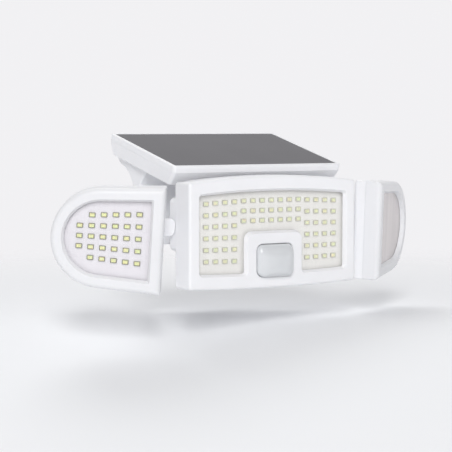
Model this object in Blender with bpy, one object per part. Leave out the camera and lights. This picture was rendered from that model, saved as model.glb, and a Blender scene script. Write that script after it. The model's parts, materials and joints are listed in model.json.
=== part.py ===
"""Solar floodlight with three lamp heads on a wall mount, as separate named parts.

Metres, +Z up, +X to the right seen from the front, +Y into the wall. The origin is the
centre of the wall plate's back face. The lamp heads face -Y.
"""

import math

import bmesh
import bpy
from mathutils import Matrix, Vector

GAP = 0.0003
WALL = 0.0022

# Main head: a wide box with arched top and bottom edges
FRONT_Y = -0.127
HEAD_Z = -0.013
HEAD_HALF_WIDTH = 0.0837
HEAD_HALF_HEIGHT = 0.0425
HEAD_TOP_ARCH = 0.0044
HEAD_BOTTOM_ARCH = 0.0020
HEAD_CORNER = 0.0027
HEAD_DEPTH = 0.0215
HEAD_FILLET = 0.0024
BEZEL_DEPTH = 0.0140
LIP = 0.0035

# Window of the main head
WINDOW_HALF_WIDTH = 0.0727
WINDOW_TOP = 0.0314
WINDOW_BOTTOM = -0.0308
WINDOW_TOP_ARCH = 0.0030
WINDOW_BOTTOM_ARCH = 0.0015
WINDOW_CORNER = 0.0016
WINDOW_FLARE = 0.0012

# Stack behind every window, as depths from the front plane of its head
LENS_DEPTH = (0.0038, 0.0047)
LED_TOP = 0.0050
BOARD_DEPTH = (0.0061, 0.0077)
GASKET_DEPTH = (0.0038, 0.0058)

# Light emitting diodes
LED_PITCH = 0.0092
LED_SIZE = (0.0050, 0.0038)
HEAD_LED_COLUMNS = 15
HEAD_LED_ROWS = 6
HEAD_LED_FAN = (0.0017, 0.0008)
CENTRE_LED_ROWS = (0.0257, 0.0176, 0.0095)
LED_CENTRE_Z = 0.0010

# Sensor in the lower middle of the main head
TAB_HALF_WIDTH = 0.0290
TAB_TOP = 0.0019
TAB_CORNER = 0.0070
SENSOR_Z = -0.0219
SENSOR_HALF = (0.0180, 0.0130)
SENSOR_CORNER = 0.0055
SENSOR_DOME = 0.0062

# Raised back of the main head, with the mode button in it
BACK_HALF_WIDTH = 0.0832
BACK_Z = (-0.0260, 0.0170)
BACK_Y = -0.0955
BUTTON_X = 0.0500
BUTTON_Z = -0.0120
BUTTON_RADIUS = 0.0040
BUTTON_TRAVEL = 0.0012

# Tilt hinge between the rear body and the main head
HEAD_AXIS = Vector((0.0, -0.064, -0.004))
HINGE_RADIUS = 0.0080
HINGE_HALF_LENGTH = 0.0200
LUG_WIDTH = 0.0080
PIN_RADIUS = 0.0025
CABLE_HOLE = 0.0030

# Wing heads: straight inner edge, tapering sides and a round outer end
WING_END_RADIUS = 0.0394
WING_END_U = 0.0482
WING_TAPER = math.radians(3.2)
WING_DEPTH = 0.0244
WING_FILLET = 0.0028
WING_BORDER = 0.0104
WING_DROP = -0.0078
WING_LED_DROP = -0.0069
WING_LED_U = 0.0194
WING_LED_SPREAD = (0.00966, 0.000318)
WING_LED_COLUMNS = 6
WING_LED_ROWS = 5

# Two-axis joints that carry the wings
AXIS_X = 0.0982
AXIS_Y = -0.1020
AXIS_Z = -0.0060
PIN_U = 0.0067
PIN_DEPTH = 0.0289
KNUCKLE_HALF_HEIGHT = 0.0072
KNUCKLE_RADIUS = 0.0047
KNUCKLE_START = 0.0841
SHAFT_RADIUS = 0.0034
PIVOT_CAP = (0.0042, 0.0016)
PIVOT_SCREW = (0.0010, 0.0045)
LUG_HEIGHT = 0.0050
WING_SIDES = {
    "left": {"side": -1, "swing": math.radians(35.7), "tilt": math.radians(6.4)},
    "right": {"side": 1, "swing": math.radians(34.0), "tilt": math.radians(3.1)},
}

# Solar panel and its tray, in a frame whose origin is the middle of the cell's top face
PANEL_CENTRE = Vector((0.0, -0.0579, 0.0548))
PANEL_SLOPE = math.radians(15.0)
CELL_HALF = (0.0815, 0.0475)
RIM = 0.0030
RIM_HEIGHT = 0.0056
TRAY_HEIGHT = 0.0170
TRAY_TAPER = 0.0055
TRAY_SIDE_LEAN = 0.15
LAMINATE = 0.0024

# Arm that joins the tray to the wall mount
ARM_HALF_WIDTH = 0.0787
ARM_FRONT_Y = -0.0461
ARM_BACK_Y = -0.0342
ARM_BOTTOM_Z = -0.0250
COVER_HALF_WIDTH = 0.0500
COVER_Z = (-0.0200, 0.0220)
SOCKET_LENGTH = 0.0120
SOCKET_WALL = 0.0025

# Wall plate
PLATE_HALF = (0.0440, 0.0240)
PLATE_THICKNESS = 0.0040
NECK_HALF = (0.0300, 0.0160)
NECK_WALL = 0.0030
WALL_SCREW_AT = (0.0375, 0.0175)

# Battery cells of the 18650 size
CELL_RADIUS = 0.0092
CELL_LENGTH = 0.0650
CELL_AT = Vector((0.0, -0.0380, 0.0450))


# ---------------------------------------------------------------- scene helpers

for old in list(bpy.data.objects):
    bpy.data.objects.remove(old)

parts = bpy.data.collections.new("solar_floodlight")
cutters = bpy.data.collections.new("cutters")
bpy.context.scene.collection.children.link(parts)
bpy.context.scene.collection.children.link(cutters)


def material(name, colour, roughness, metallic=0.0):
    made = bpy.data.materials.new(name)
    made.use_nodes = True
    shader = made.node_tree.nodes["Principled BSDF"]
    shader.inputs["Base Color"].default_value = (*colour, 1.0)
    shader.inputs["Roughness"].default_value = roughness
    shader.inputs["Metallic"].default_value = metallic
    return made


WHITE = material("white_housing", (0.86, 0.87, 0.88), 0.42)
CLEAR = material("clear_cover", (0.90, 0.91, 0.92), 0.12)
BOARD = material("white_board", (0.82, 0.82, 0.84), 0.55)
SENSOR = material("sensor_lens", (0.70, 0.73, 0.74), 0.30)
SOLAR = material("solar_cell", (0.07, 0.065, 0.085), 0.25)
RUBBER = material("grey_seal", (0.30, 0.30, 0.31), 0.85)
STEEL = material("steel", (0.62, 0.62, 0.63), 0.35, 1.0)
GREEN = material("circuit_board", (0.05, 0.22, 0.12), 0.50)
BLACK = material("black_plastic", (0.05, 0.05, 0.05), 0.55)
BATTERY = material("battery_sleeve", (0.12, 0.30, 0.55), 0.40)


def finish(obj, colour, parent=None):
    """Keep an object as a part: its material, smooth shading and parent."""
    obj.data.materials.clear()
    obj.data.materials.append(colour)
    obj.data.shade_smooth()
    obj.data.set_sharp_from_angle(angle=math.radians(35))
    obj.parent = parent
    parts.objects.link(obj)
    return obj


def new_object(name, bm):
    bmesh.ops.recalc_face_normals(bm, faces=bm.faces)
    mesh = bpy.data.meshes.new(name)
    bm.to_mesh(mesh)
    bm.free()
    return bpy.data.objects.new(name, mesh)


def combine(target, cutter, operation):
    """Add a Boolean modifier, and put the other shape away with the cutters."""
    modifier = target.modifiers.new(cutter.name, "BOOLEAN")
    modifier.operation = operation
    modifier.object = cutter
    if cutter.name not in cutters.objects:
        cutters.objects.link(cutter)
    cutter.hide_render = True
    cutter.display_type = "WIRE"


def cut(target, *shapes):
    for shape in shapes:
        shape.parent = target.parent
        combine(target, shape, "DIFFERENCE")


def join(target, *shapes):
    for shape in shapes:
        shape.parent = target.parent
        combine(target, shape, "UNION")


def axis_empty(name, place, parent=None):
    empty = bpy.data.objects.new(name, None)
    empty.location = place
    empty.parent = parent
    empty.empty_display_size = 0.01
    parts.objects.link(empty)
    return empty


# ---------------------------------------------------------------- basic shapes


def box(name, low, high):
    """A block between two corners, with its origin in its middle."""
    low, high = Vector(low), Vector(high)
    bm = bmesh.new()
    bmesh.ops.create_cube(bm, size=1.0, matrix=Matrix.Diagonal((*(high - low), 1.0)))
    obj = new_object(name, bm)
    obj.location = (low + high) / 2
    return obj


TURN = {
    "X": Matrix.Rotation(math.radians(90), 4, "Y"),
    "Y": Matrix.Rotation(math.radians(-90), 4, "X"),
    "Z": Matrix.Identity(4),
}


def add_rod(bm, radius, start, end, axis, sides):
    """A cylinder along one axis, from one point to another."""
    start, end = Vector(start), Vector(end)
    move = Matrix.Translation((start + end) / 2)
    bmesh.ops.create_cone(
        bm,
        cap_ends=True,
        segments=sides,
        radius1=radius,
        radius2=radius,
        depth=(end - start).length,
        matrix=move @ TURN[axis],
    )


def rod(name, radius, start, end, axis, sides=20):
    bm = bmesh.new()
    add_rod(bm, radius, start, end, axis, sides)
    return new_object(name, bm)


def screws(name, places, axis, head, shaft, sides=8, parent=None):
    """Headed screws, one object each. Head and shaft are (radius, from, to) along the axis."""
    unit = Vector({"X": (1, 0, 0), "Y": (0, 1, 0), "Z": (0, 0, 1)}[axis])
    across = unit.orthogonal().normalized()
    for number, place in enumerate(places, 1):
        side = -1 if axis == "X" and place[0] < 0 else 1
        steps = [(head[1], head[0]), (head[2], head[0]), (head[2], shaft[0]), (shaft[2], shaft[0])]
        bm = bmesh.new()
        rings = []
        for along, radius in steps:
            ring = []
            for k in range(sides):
                spin = Matrix.Rotation(math.tau * k / sides, 3, unit)
                ring.append(bm.verts.new(unit * side * along + spin @ across * radius))
            rings.append(ring)
        bridge(bm, rings)
        screw = new_object(f"{name}_{number}", bm)
        screw.location = place
        finish(screw, STEEL, parent)


def bridge(bm, rings):
    """Skin between rings of equal length, and close both ends."""
    for first, second in zip(rings, rings[1:]):
        for k, vert in enumerate(first):
            after = (k + 1) % len(first)
            bm.faces.new((vert, first[after], second[after], second[k]))
    bm.faces.new(list(reversed(rings[0])))
    bm.faces.new(rings[-1])


def loft(name, outline, sections, plane="XZ"):
    """A solid through sections (inset, offset) of one outline, stacked across its plane."""
    bm = bmesh.new()
    rings = []
    for inset, offset in sections:
        ring = []
        for first, second in outline(inset):
            place = {
                "XZ": (first, offset, second),
                "YZ": (offset, first, second),
                "XY": (first, second, offset),
            }[plane]
            ring.append(bm.verts.new(place))
        rings.append(ring)
    bridge(bm, rings)
    return new_object(name, bm)


def plate(name, outline, inset, low, high, plane="XZ"):
    return loft(name, outline, [(inset, low), (inset, high)], plane)


def rounded(inset, start, end, fillet, steps=3):
    """Sections of a block whose start edge is rounded by a fillet."""
    sections = []
    for k in range(steps + 1):
        angle = math.pi / 2 * k / steps
        away = fillet * (1 - math.sin(angle))
        along = fillet * (1 - math.cos(angle))
        sections.append((inset + away, start + math.copysign(along, end - start)))
    sections.append((inset, end))
    return sections


# ---------------------------------------------------------------- outlines


def corner_arc(x, z, radius, start, steps=3):
    points = []
    for k in range(steps + 1):
        angle = math.radians(start + 90 * k / steps)
        points.append((x + radius * math.cos(angle), z + radius * math.sin(angle)))
    return points


def arched(half_width, low, high, low_arch, high_arch, corner, steps=8):
    """An outline with round corners whose lower and upper edges bulge by an arch."""

    def outline(inset):
        radius = max(corner - inset, 0.0004)
        reach = half_width - inset - radius
        bottom = low + inset + radius
        top = high - inset - radius

        def edge(z, arch, side):
            return [
                (side * reach * t, z + arch * (1 - t * t))
                for t in (1 - 2 * k / steps for k in range(1, steps))
            ]

        points = corner_arc(reach, bottom, radius, -90)
        points += corner_arc(reach, top, radius, 0)
        points += edge(top + radius, high_arch, 1)
        points += corner_arc(-reach, top, radius, 90)
        points += corner_arc(-reach, bottom, radius, 180)
        points += edge(bottom - radius, -low_arch, -1)
        return points

    return outline


def rectangle(half_width, half_height, corner, centre=(0.0, 0.0)):
    def outline(inset):
        radius = max(corner - inset, 0.0004)
        x = half_width - inset - radius
        z = half_height - inset - radius
        points = []
        for side, up, start in ((1, -1, -90), (1, 1, 0), (-1, 1, 90), (-1, -1, 180)):
            middle = (centre[0] + side * x, centre[1] + up * z)
            points += corner_arc(*middle, radius, start)
        return points

    return outline


def wing_outline(side, steps=14):
    """The wing's outline about its swing axis. U runs outwards from the inner edge."""

    def outline(inset):
        radius = WING_END_RADIUS - inset
        points = []
        for k in range(steps + 1):
            angle = (math.pi / 2 - WING_TAPER) * (1 - 2 * k / steps)
            points.append((WING_END_U + radius * math.cos(angle), radius * math.sin(angle)))
        height = radius / math.cos(WING_TAPER) + (WING_END_U - inset) * math.tan(WING_TAPER)
        points.append((inset, -height))
        points.append((inset, height))
        return [(side * (u - PIN_U), v + WING_DROP) for u, v in points]

    return outline


head_outline = arched(
    HEAD_HALF_WIDTH,
    HEAD_Z - HEAD_HALF_HEIGHT,
    HEAD_Z + HEAD_HALF_HEIGHT,
    HEAD_BOTTOM_ARCH,
    HEAD_TOP_ARCH,
    HEAD_CORNER,
)
window_outline = arched(
    WINDOW_HALF_WIDTH,
    HEAD_Z + WINDOW_BOTTOM,
    HEAD_Z + WINDOW_TOP,
    WINDOW_BOTTOM_ARCH,
    WINDOW_TOP_ARCH,
    WINDOW_CORNER,
)
sensor_outline = rectangle(*SENSOR_HALF, SENSOR_CORNER, (0.0, HEAD_Z + SENSOR_Z))


def about_head_axis(outline):
    """The same outline in the frame of the main head's tilt axis."""
    return lambda inset: [(x - HEAD_AXIS.x, z - HEAD_AXIS.z) for x, z in outline(inset)]


def head_y(depth):
    """Y of a depth behind the main head's front plane, about its tilt axis."""
    return FRONT_Y + depth - HEAD_AXIS.y


# ---------------------------------------------------------------- wall mount


def make_wall_mount():
    wall_plate = plate(
        "wall_plate", rectangle(*PLATE_HALF, 0.005), 0.0, -PLATE_THICKNESS, 0.0
    )
    neck_end = ARM_BACK_Y + GAP
    x, z = NECK_HALF
    neck = box("neck", (-x, neck_end, -z), (x, -PLATE_THICKNESS / 2, z))
    join(wall_plate, neck)
    hollow = box(
        "neck_hollow",
        (-x + NECK_WALL, neck_end - 0.01, -z + NECK_WALL),
        (x - NECK_WALL, -PLATE_THICKNESS - 0.003, z - NECK_WALL),
    )
    cut(wall_plate, hollow)
    corners = [(sx * WALL_SCREW_AT[0], sz * WALL_SCREW_AT[1]) for sx in (-1, 1) for sz in (-1, 1)]
    for k, (cx, cz) in enumerate(corners):
        cut(wall_plate, rod(f"plate_hole_{k}", 0.0024, (cx, -0.01, cz), (cx, 0.01, cz), "Y", 12))
    cut(wall_plate, rod("lock_hole", 0.0022, (-0.05, -0.027, 0), (0.05, -0.027, 0), "X", 12))
    finish(wall_plate, WHITE)
    heads = [(cx, -PLATE_THICKNESS - GAP, cz) for cx, cz in corners]
    screws("wall_screw", heads, "Y", (0.0040, -0.0022, 0), (0.0019, 0, 0.0040))
    locks = [(side * (x + SOCKET_WALL + 2 * GAP + 0.0002), -0.027, 0.0) for side in (-1, 1)]
    screws("lock_screw", locks, "X", (0.0038, 0.0024, 0), (0.0018, 0, -0.0080))


# ---------------------------------------------------------------- arm and tray

TRAY_FRAME = Matrix.Translation(PANEL_CENTRE) @ Matrix.Rotation(PANEL_SLOPE, 4, "X")
tray_outline = rectangle(CELL_HALF[0] + RIM, CELL_HALF[1] + RIM, 0.0030)


def tray_body_outline(wall=0.0):
    """The tray's body: front and back lean in by the inset while the sides stay nearly upright."""

    def outline(inset):
        half_x = CELL_HALF[0] + RIM - wall - TRAY_SIDE_LEAN * (inset - wall)
        return rectangle(half_x, CELL_HALF[1] + RIM - inset, 0.0030 - wall)(0.0)

    return outline


def tray_place(obj):
    obj.matrix_world = TRAY_FRAME
    return obj


def arm_profile(inset):
    """Side view of the arm: a slim leg that flares into the tray."""
    front, back = ARM_FRONT_Y + inset, ARM_BACK_Y - inset
    flare = [(0.0048, 0.0331), (0.0097, 0.0380), (0.0205, 0.0429), (0.0235, 0.0475)]
    points = [(front, ARM_BOTTOM_Z + inset), (back, ARM_BOTTOM_Z + inset), (back, 0.0262)]
    points += [(back + along, high + 0.6 * inset) for along, high in flare]
    points += [(back + 0.0215, 0.0540), (front - 0.0100, 0.0440), (front - 0.0100, 0.0371)]
    points.append((front, 0.0263))
    return points


def make_rear_body():
    body = loft(
        "rear_body",
        tray_body_outline(),
        [(0.0, -RIM_HEIGHT - GAP), (TRAY_TAPER, -TRAY_HEIGHT)],
        "XY",
    )
    tray_place(body)
    arm = plate("arm", arm_profile, 0.0, -ARM_HALF_WIDTH, ARM_HALF_WIDTH, "YZ")
    combine(body, arm, "UNION")
    inside = WALL + 0.0002
    tray_hollow = loft(
        "tray_hollow",
        tray_body_outline(inside),
        [(inside, -0.0030), (inside, -RIM_HEIGHT), (TRAY_TAPER + inside, -TRAY_HEIGHT + WALL)],
        "XY",
    )
    combine(body, tray_place(tray_hollow), "DIFFERENCE")
    reach = ARM_HALF_WIDTH - WALL
    arm_hollow = plate("arm_hollow", arm_profile, WALL, -reach, reach, "YZ")
    combine(body, arm_hollow, "DIFFERENCE")
    for side in (-1, 1):
        make_lug(body, side)
    across = HINGE_HALF_LENGTH + LUG_WIDTH + 0.01
    hole = rod(
        "lug_hole",
        PIN_RADIUS + GAP,
        HEAD_AXIS - Vector((across, 0, 0)),
        HEAD_AXIS + Vector((across, 0, 0)),
        "X",
    )
    combine(body, hole, "DIFFERENCE")
    opening = box(
        "cover_opening",
        (-COVER_HALF_WIDTH, ARM_BACK_Y - WALL - 0.001, COVER_Z[0]),
        (COVER_HALF_WIDTH, ARM_BACK_Y + 0.01, COVER_Z[1]),
    )
    combine(body, opening, "DIFFERENCE")
    finish(body, WHITE)


def make_lug(body, side):
    """One of the two ears in front of the arm that hold the tilt pin."""
    inner = side * (HINGE_HALF_LENGTH + 2 * GAP)
    outer = side * (HINGE_HALF_LENGTH + 2 * GAP + LUG_WIDTH)
    ear = HINGE_RADIUS - 0.0008
    low = (min(inner, outer) + 0.0003, HEAD_AXIS.y, HEAD_AXIS.z - ear)
    high = (max(inner, outer) - 0.0003, ARM_FRONT_Y + WALL / 2, HEAD_AXIS.z + ear)
    name = "left" if side < 0 else "right"
    combine(body, box(f"{name}_ear", low, high), "UNION")
    start = (inner, HEAD_AXIS.y, HEAD_AXIS.z)
    end = (outer, HEAD_AXIS.y, HEAD_AXIS.z)
    combine(body, rod(f"{name}_ear_end", HINGE_RADIUS, start, end, "X", 24), "UNION")


def make_rear_cover():
    """Cover of the arm, with the socket that slides over the wall plate's neck."""
    x = COVER_HALF_WIDTH - GAP
    low, high = COVER_Z[0] + GAP, COVER_Z[1] - GAP
    cover = box("arm_cover", (-x, ARM_BACK_Y - WALL, low), (x, ARM_BACK_Y, high))
    inner = [half + 0.0004 for half in NECK_HALF]
    outer = [half + SOCKET_WALL for half in inner]
    end = ARM_BACK_Y + SOCKET_LENGTH
    socket = box(
        "socket", (-outer[0], ARM_BACK_Y - WALL / 2, -outer[1]), (outer[0], end, outer[1])
    )
    join(cover, socket)
    hollow = box(
        "socket_hollow", (-inner[0], ARM_BACK_Y, -inner[1]), (inner[0], end + 0.01, inner[1])
    )
    cut(cover, hollow)
    cut(cover, rod("socket_hole", 0.0022, (-0.05, -0.027, 0), (0.05, -0.027, 0), "X", 12))
    at = [(sx * 0.044, sz) for sx in (-1, 1) for sz in (COVER_Z[0] + 0.006, COVER_Z[1] - 0.006)]
    for k, (cx, cz) in enumerate(at):
        drill = rod(f"cover_hole_{k}", 0.0016, (cx, -0.05, cz), (cx, -0.02, cz), "Y", 12)
        cut(cover, drill)
    finish(cover, WHITE)
    heads = [(cx, ARM_BACK_Y + GAP, cz) for cx, cz in at]
    head, shaft = (0.0028, 0.0018, 0), (0.0013, 0, -0.0055)
    screws("cover_screw", heads, "Y", head, shaft)


def make_electronics():
    """Battery, holder and control board inside the arm."""
    for side, name in ((-1, "battery_left"), (1, "battery_right")):
        inner = CELL_AT + Vector((side * 0.0008, 0, 0))
        outer = inner + Vector((side * CELL_LENGTH, 0, 0))
        finish(rod(name, CELL_RADIUS, inner, outer, "X", 24), BATTERY)
    half = CELL_LENGTH + 0.0030
    base = CELL_AT.z - CELL_RADIUS - 0.0010
    holder = box(
        "battery_holder",
        (-half, CELL_AT.y - 0.0085, base),
        (half, CELL_AT.y + 0.0055, CELL_AT.z - 0.0045),
    )
    reach = CELL_LENGTH + 0.0012
    bed = rod(
        "battery_bed",
        CELL_RADIUS + GAP,
        CELL_AT - Vector((reach, 0, 0)),
        CELL_AT + Vector((reach, 0, 0)),
        "X",
        24,
    )
    cut(holder, bed)
    finish(holder, BLACK)
    board_y = ARM_FRONT_Y + WALL + 0.0012
    board = box("control_board", (-0.036, board_y, -0.017), (0.036, board_y + 0.0016, 0.017))
    bm = bmesh.new()
    chips = [
        (-0.024, 0.006, 0.010, 0.008),
        (-0.008, -0.004, 0.006, 0.006),
        (0.008, 0.006, 0.012, 0.006),
        (0.024, -0.006, 0.008, 0.010),
    ]
    for x, z, wide, tall in chips:
        size = Matrix.Diagonal((wide, 0.0022, tall, 1.0))
        place = Matrix.Translation((x, board_y + 0.0020, z))
        bmesh.ops.create_cube(bm, size=1.0, matrix=place @ size)
    join(board, new_object("board_components", bm))
    finish(board, GREEN)


def make_panel():
    frame = plate("panel_frame", tray_outline, 0.0, -RIM_HEIGHT, 0.0, "XY")
    pocket = rectangle(*CELL_HALF, 0.0012)
    tray_place(frame)
    well = plate("panel_pocket", pocket, 0.0, -0.0038, 0.01, "XY")
    opening = plate("panel_opening", pocket, RIM, -0.02, 0.02, "XY")
    for shape in (well, opening):
        combine(frame, tray_place(shape), "DIFFERENCE")
    finish(frame, WHITE)
    cell = plate("solar_panel", pocket, GAP, -0.0002 - LAMINATE, -0.0002, "XY")
    finish(tray_place(cell), SOLAR)
    seal = plate("panel_seal", pocket, 0.0008, -0.0035, -0.0029, "XY")
    tray_place(seal)
    inner = plate("seal_opening", pocket, 0.0026, -0.02, 0.02, "XY")
    combine(seal, tray_place(inner), "DIFFERENCE")
    finish(seal, RUBBER)
    terminal = box("panel_terminal", (-0.010, -0.030, -0.0062), (0.010, -0.018, -0.0029))
    terminal.matrix_world = TRAY_FRAME @ Matrix.Translation(terminal.location)
    finish(terminal, BLACK)


# ---------------------------------------------------------------- main head


def head_leds():
    """Centres of the main head's LEDs: full columns at the sides, short ones in the middle."""
    centres = []
    middle = (HEAD_LED_COLUMNS - 1) / 2
    for column in range(HEAD_LED_COLUMNS):
        across = column - middle
        crown = 1 - (across / middle) ** 2
        if abs(across) <= 3:
            centres += [(across * LED_PITCH, z) for z in CENTRE_LED_ROWS]
            continue
        for row in range(HEAD_LED_ROWS):
            part = row / (HEAD_LED_ROWS - 1)
            lift = HEAD_LED_FAN[0] * (1 - part) - HEAD_LED_FAN[1] * part
            z = LED_CENTRE_Z + LED_PITCH * (2.5 - row) + lift * crown
            centres.append((across * LED_PITCH, z))
    return [(x, z + HEAD_Z - HEAD_AXIS.z) for x, z in centres]


def led_group(name, centres, low, high):
    """Blocks for the LEDs, from their light faces down into their board."""
    bm = bmesh.new()
    for x, z in centres:
        size = Matrix.Diagonal((LED_SIZE[0], high - low, LED_SIZE[1], 1.0))
        place = Matrix.Translation((x, (low + high) / 2, z))
        bmesh.ops.create_cube(bm, size=1.0, matrix=place @ size)
    return new_object(name, bm)


def make_head_front(axis):
    outline = about_head_axis(head_outline)
    window = about_head_axis(window_outline)
    sensor = about_head_axis(sensor_outline)
    front, seam = head_y(0), head_y(BEZEL_DEPTH)
    bezel = loft("main_bezel", outline, rounded(0.0, front, seam, HEAD_FILLET))
    bezel.parent = axis
    hollow = plate("bezel_hollow", outline, WALL, head_y(LIP), seam + 0.01)
    sections = [(-2 * WINDOW_FLARE, front - LIP), (0.0, head_y(LIP) + 0.001)]
    hole = loft("window_cut", window, sections)
    tab_middle = HEAD_Z - HEAD_AXIS.z + (TAB_TOP + WINDOW_BOTTOM) / 2 - 0.004
    tab_half = (TAB_TOP - WINDOW_BOTTOM) / 2 + 0.004
    tab_shape = rectangle(TAB_HALF_WIDTH, tab_half, TAB_CORNER, (0.0, tab_middle))
    tab_room = loft("tab_room", tab_shape, [(0.0008, front - 0.01), (0.0, head_y(LIP) + 0.01)])
    combine(hole, tab_room, "DIFFERENCE")
    cut(bezel, hollow, hole)
    tab_room.parent = axis
    cut(bezel, plate("sensor_cut", sensor, 0.0, front - 0.01, head_y(LIP) + 0.01))
    finish(bezel, WHITE, axis)
    lens = plate("main_lens", window, -0.0020, head_y(LENS_DEPTH[0]), head_y(LENS_DEPTH[1]))
    lens.parent = axis
    cut(lens, plate("lens_sensor_cut", sensor, -0.0005, front, front + 0.01))
    finish(lens, CLEAR, axis)
    gasket = plate(
        "main_gasket", window, -0.0058, head_y(GASKET_DEPTH[0]), head_y(GASKET_DEPTH[1])
    )
    gasket.parent = axis
    cut(gasket, plate("gasket_cut", window, -0.0026, front, front + 0.01))
    finish(gasket, RUBBER, axis)
    board = plate(
        "main_led_board", window, -0.0050, head_y(BOARD_DEPTH[0]), head_y(BOARD_DEPTH[1])
    )
    board.parent = axis
    cut(board, plate("board_sensor_cut", sensor, 0.0020, front, front + 0.02))
    sunk = (BOARD_DEPTH[0] + BOARD_DEPTH[1]) / 2
    join(board, led_group("main_leds", head_leds(), head_y(LED_TOP), head_y(sunk)))
    finish(board, BOARD, axis)


def make_sensor(axis):
    sensor = about_head_axis(sensor_outline)
    z = HEAD_Z + SENSOR_Z - HEAD_AXIS.z
    front = head_y(-SENSOR_DOME)
    dome = loft(
        "motion_sensor_lens", sensor, rounded(GAP, front, head_y(LED_TOP), SENSOR_DOME, 5)
    )
    dome.parent = axis
    inner = rounded(0.0014, front + 0.0012, head_y(0.02), SENSOR_DOME, 4)
    cut(dome, loft("dome_hollow", sensor, inner))
    finish(dome, SENSOR, axis)
    can_back = head_y(BOARD_DEPTH[1])
    can = rod("infrared_sensor", 0.0046, (0, can_back - 0.0062, z), (0, can_back, z), "Y", 20)
    finish(can, STEEL, axis)
    board_low = can_back + GAP
    board = box("sensor_board", (-0.016, board_low, z - 0.010), (0.016, board_low + 0.0016, z + 0.010))
    finish(board, GREEN, axis)


def make_head_back(axis):
    outline = about_head_axis(head_outline)
    seam, back = head_y(BEZEL_DEPTH) + GAP, head_y(HEAD_DEPTH)
    sections = list(reversed(rounded(0.0, back, seam, 0.0020, 2)))
    shell = loft("main_rear_shell", outline, sections)
    shell.parent = axis
    middle = (0.0, sum(BACK_Z) / 2 - HEAD_AXIS.z)
    raised = rectangle(BACK_HALF_WIDTH, (BACK_Z[1] - BACK_Z[0]) / 2, 0.0040, middle)
    end = BACK_Y - HEAD_AXIS.y
    back_box = loft("raised_back", raised, list(reversed(rounded(0.0, end, back - 0.003, 0.0035))))
    join(shell, back_box)
    cut(shell, plate("shell_hollow", outline, WALL, seam - 0.01, back - WALL))
    cut(shell, plate("back_hollow", raised, WALL, seam - 0.01, end - WALL))
    for side in (-1, 1):
        start = (side * 0.070, AXIS_Y - HEAD_AXIS.y, AXIS_Z - HEAD_AXIS.z)
        stop = (side * 0.090, AXIS_Y - HEAD_AXIS.y, AXIS_Z - HEAD_AXIS.z)
        hole = rod(f"pivot_hole_{side}", SHAFT_RADIUS + GAP, start, stop, "X")
        cut(shell, hole)
    button = (BUTTON_X, BUTTON_Z - HEAD_AXIS.z)
    start, stop = (button[0], end - 0.01, button[1]), (button[0], end + 0.01, button[1])
    cut(shell, rod("button_hole", BUTTON_RADIUS + GAP, start, stop, "Y", 24))
    cut(shell, rod("cable_hole", CABLE_HOLE, (0, end - 0.01, 0), (0, end + 0.01, 0), "Y", 12))
    places = shell_screw_places()
    for k, (x, z) in enumerate(places):
        drill = rod(f"shell_hole_{k}", 0.0017, (x, back - 0.01, z), (x, back + 0.01, z), "Y", 10)
        cut(shell, drill)
    flange = [(sx * 0.020, sx * 0.009) for sx in (-1, 1)]
    for k, (x, z) in enumerate(flange):
        drill = rod(f"flange_hole_{k}", 0.0015, (x, end - 0.01, z), (x, end + 0.01, z), "Y", 10)
        cut(shell, drill)
    finish(shell, WHITE, axis)
    heads = [(x, back + GAP, z) for x, z in places]
    head, shaft = (0.0030, 0.0018, 0), (0.0014, 0, -0.0060)
    screws("main_shell_screw", heads, "Y", head, shaft, parent=axis)


def shell_screw_places():
    """Two rows of screws above and below the raised back."""
    top = HEAD_Z + HEAD_HALF_HEIGHT - 0.0068 - HEAD_AXIS.z
    bottom = HEAD_Z - HEAD_HALF_HEIGHT + 0.0090 - HEAD_AXIS.z
    return [(x, z) for z in (top, bottom) for x in (-0.062, 0.062)]


def make_yoke(axis):
    """Bracket on the head's back that turns on the tilt pin."""
    start = BACK_Y - HEAD_AXIS.y + GAP
    yoke = box("head_bracket", (-0.026, start, -0.0130), (0.026, start + 0.0030, 0.0130))
    yoke.parent = axis
    stem = box("bracket_stem", (-0.0196, start + 0.0015, -0.0062), (0.0196, -0.0010, 0.0062))
    barrel = rod(
        "bracket_barrel", HINGE_RADIUS, (-HINGE_HALF_LENGTH, 0, 0), (HINGE_HALF_LENGTH, 0, 0), "X", 24
    )
    join(yoke, stem, barrel)
    cut(yoke, rod("bracket_bore", PIN_RADIUS + GAP, (-0.03, 0, 0), (0.03, 0, 0), "X"))
    cut(yoke, rod("bracket_duct", CABLE_HOLE, (0, start - 0.01, 0), (0, -0.0050, 0), "Y", 12))
    places = [(sx * 0.020, sx * 0.009) for sx in (-1, 1)]
    for k, (x, z) in enumerate(places):
        drill = rod(f"bracket_hole_{k}", 0.0015, (x, start - 0.01, z), (x, start + 0.01, z), "Y", 10)
        cut(yoke, drill)
    finish(yoke, WHITE, axis)
    heads = [(x, start + 0.0030 + GAP, z) for x, z in places]
    head, shaft = (0.0026, 0.0016, 0), (0.0012, 0, -0.0080)
    screws("bracket_screw", heads, "Y", head, shaft, parent=axis)


def make_tilt_pin():
    reach = HINGE_HALF_LENGTH + LUG_WIDTH + 0.0010
    start = HEAD_AXIS - Vector((reach, 0, 0))
    end = HEAD_AXIS + Vector((reach, 0, 0))
    finish(rod("tilt_pin", PIN_RADIUS, start, end, "X"), STEEL)


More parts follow.
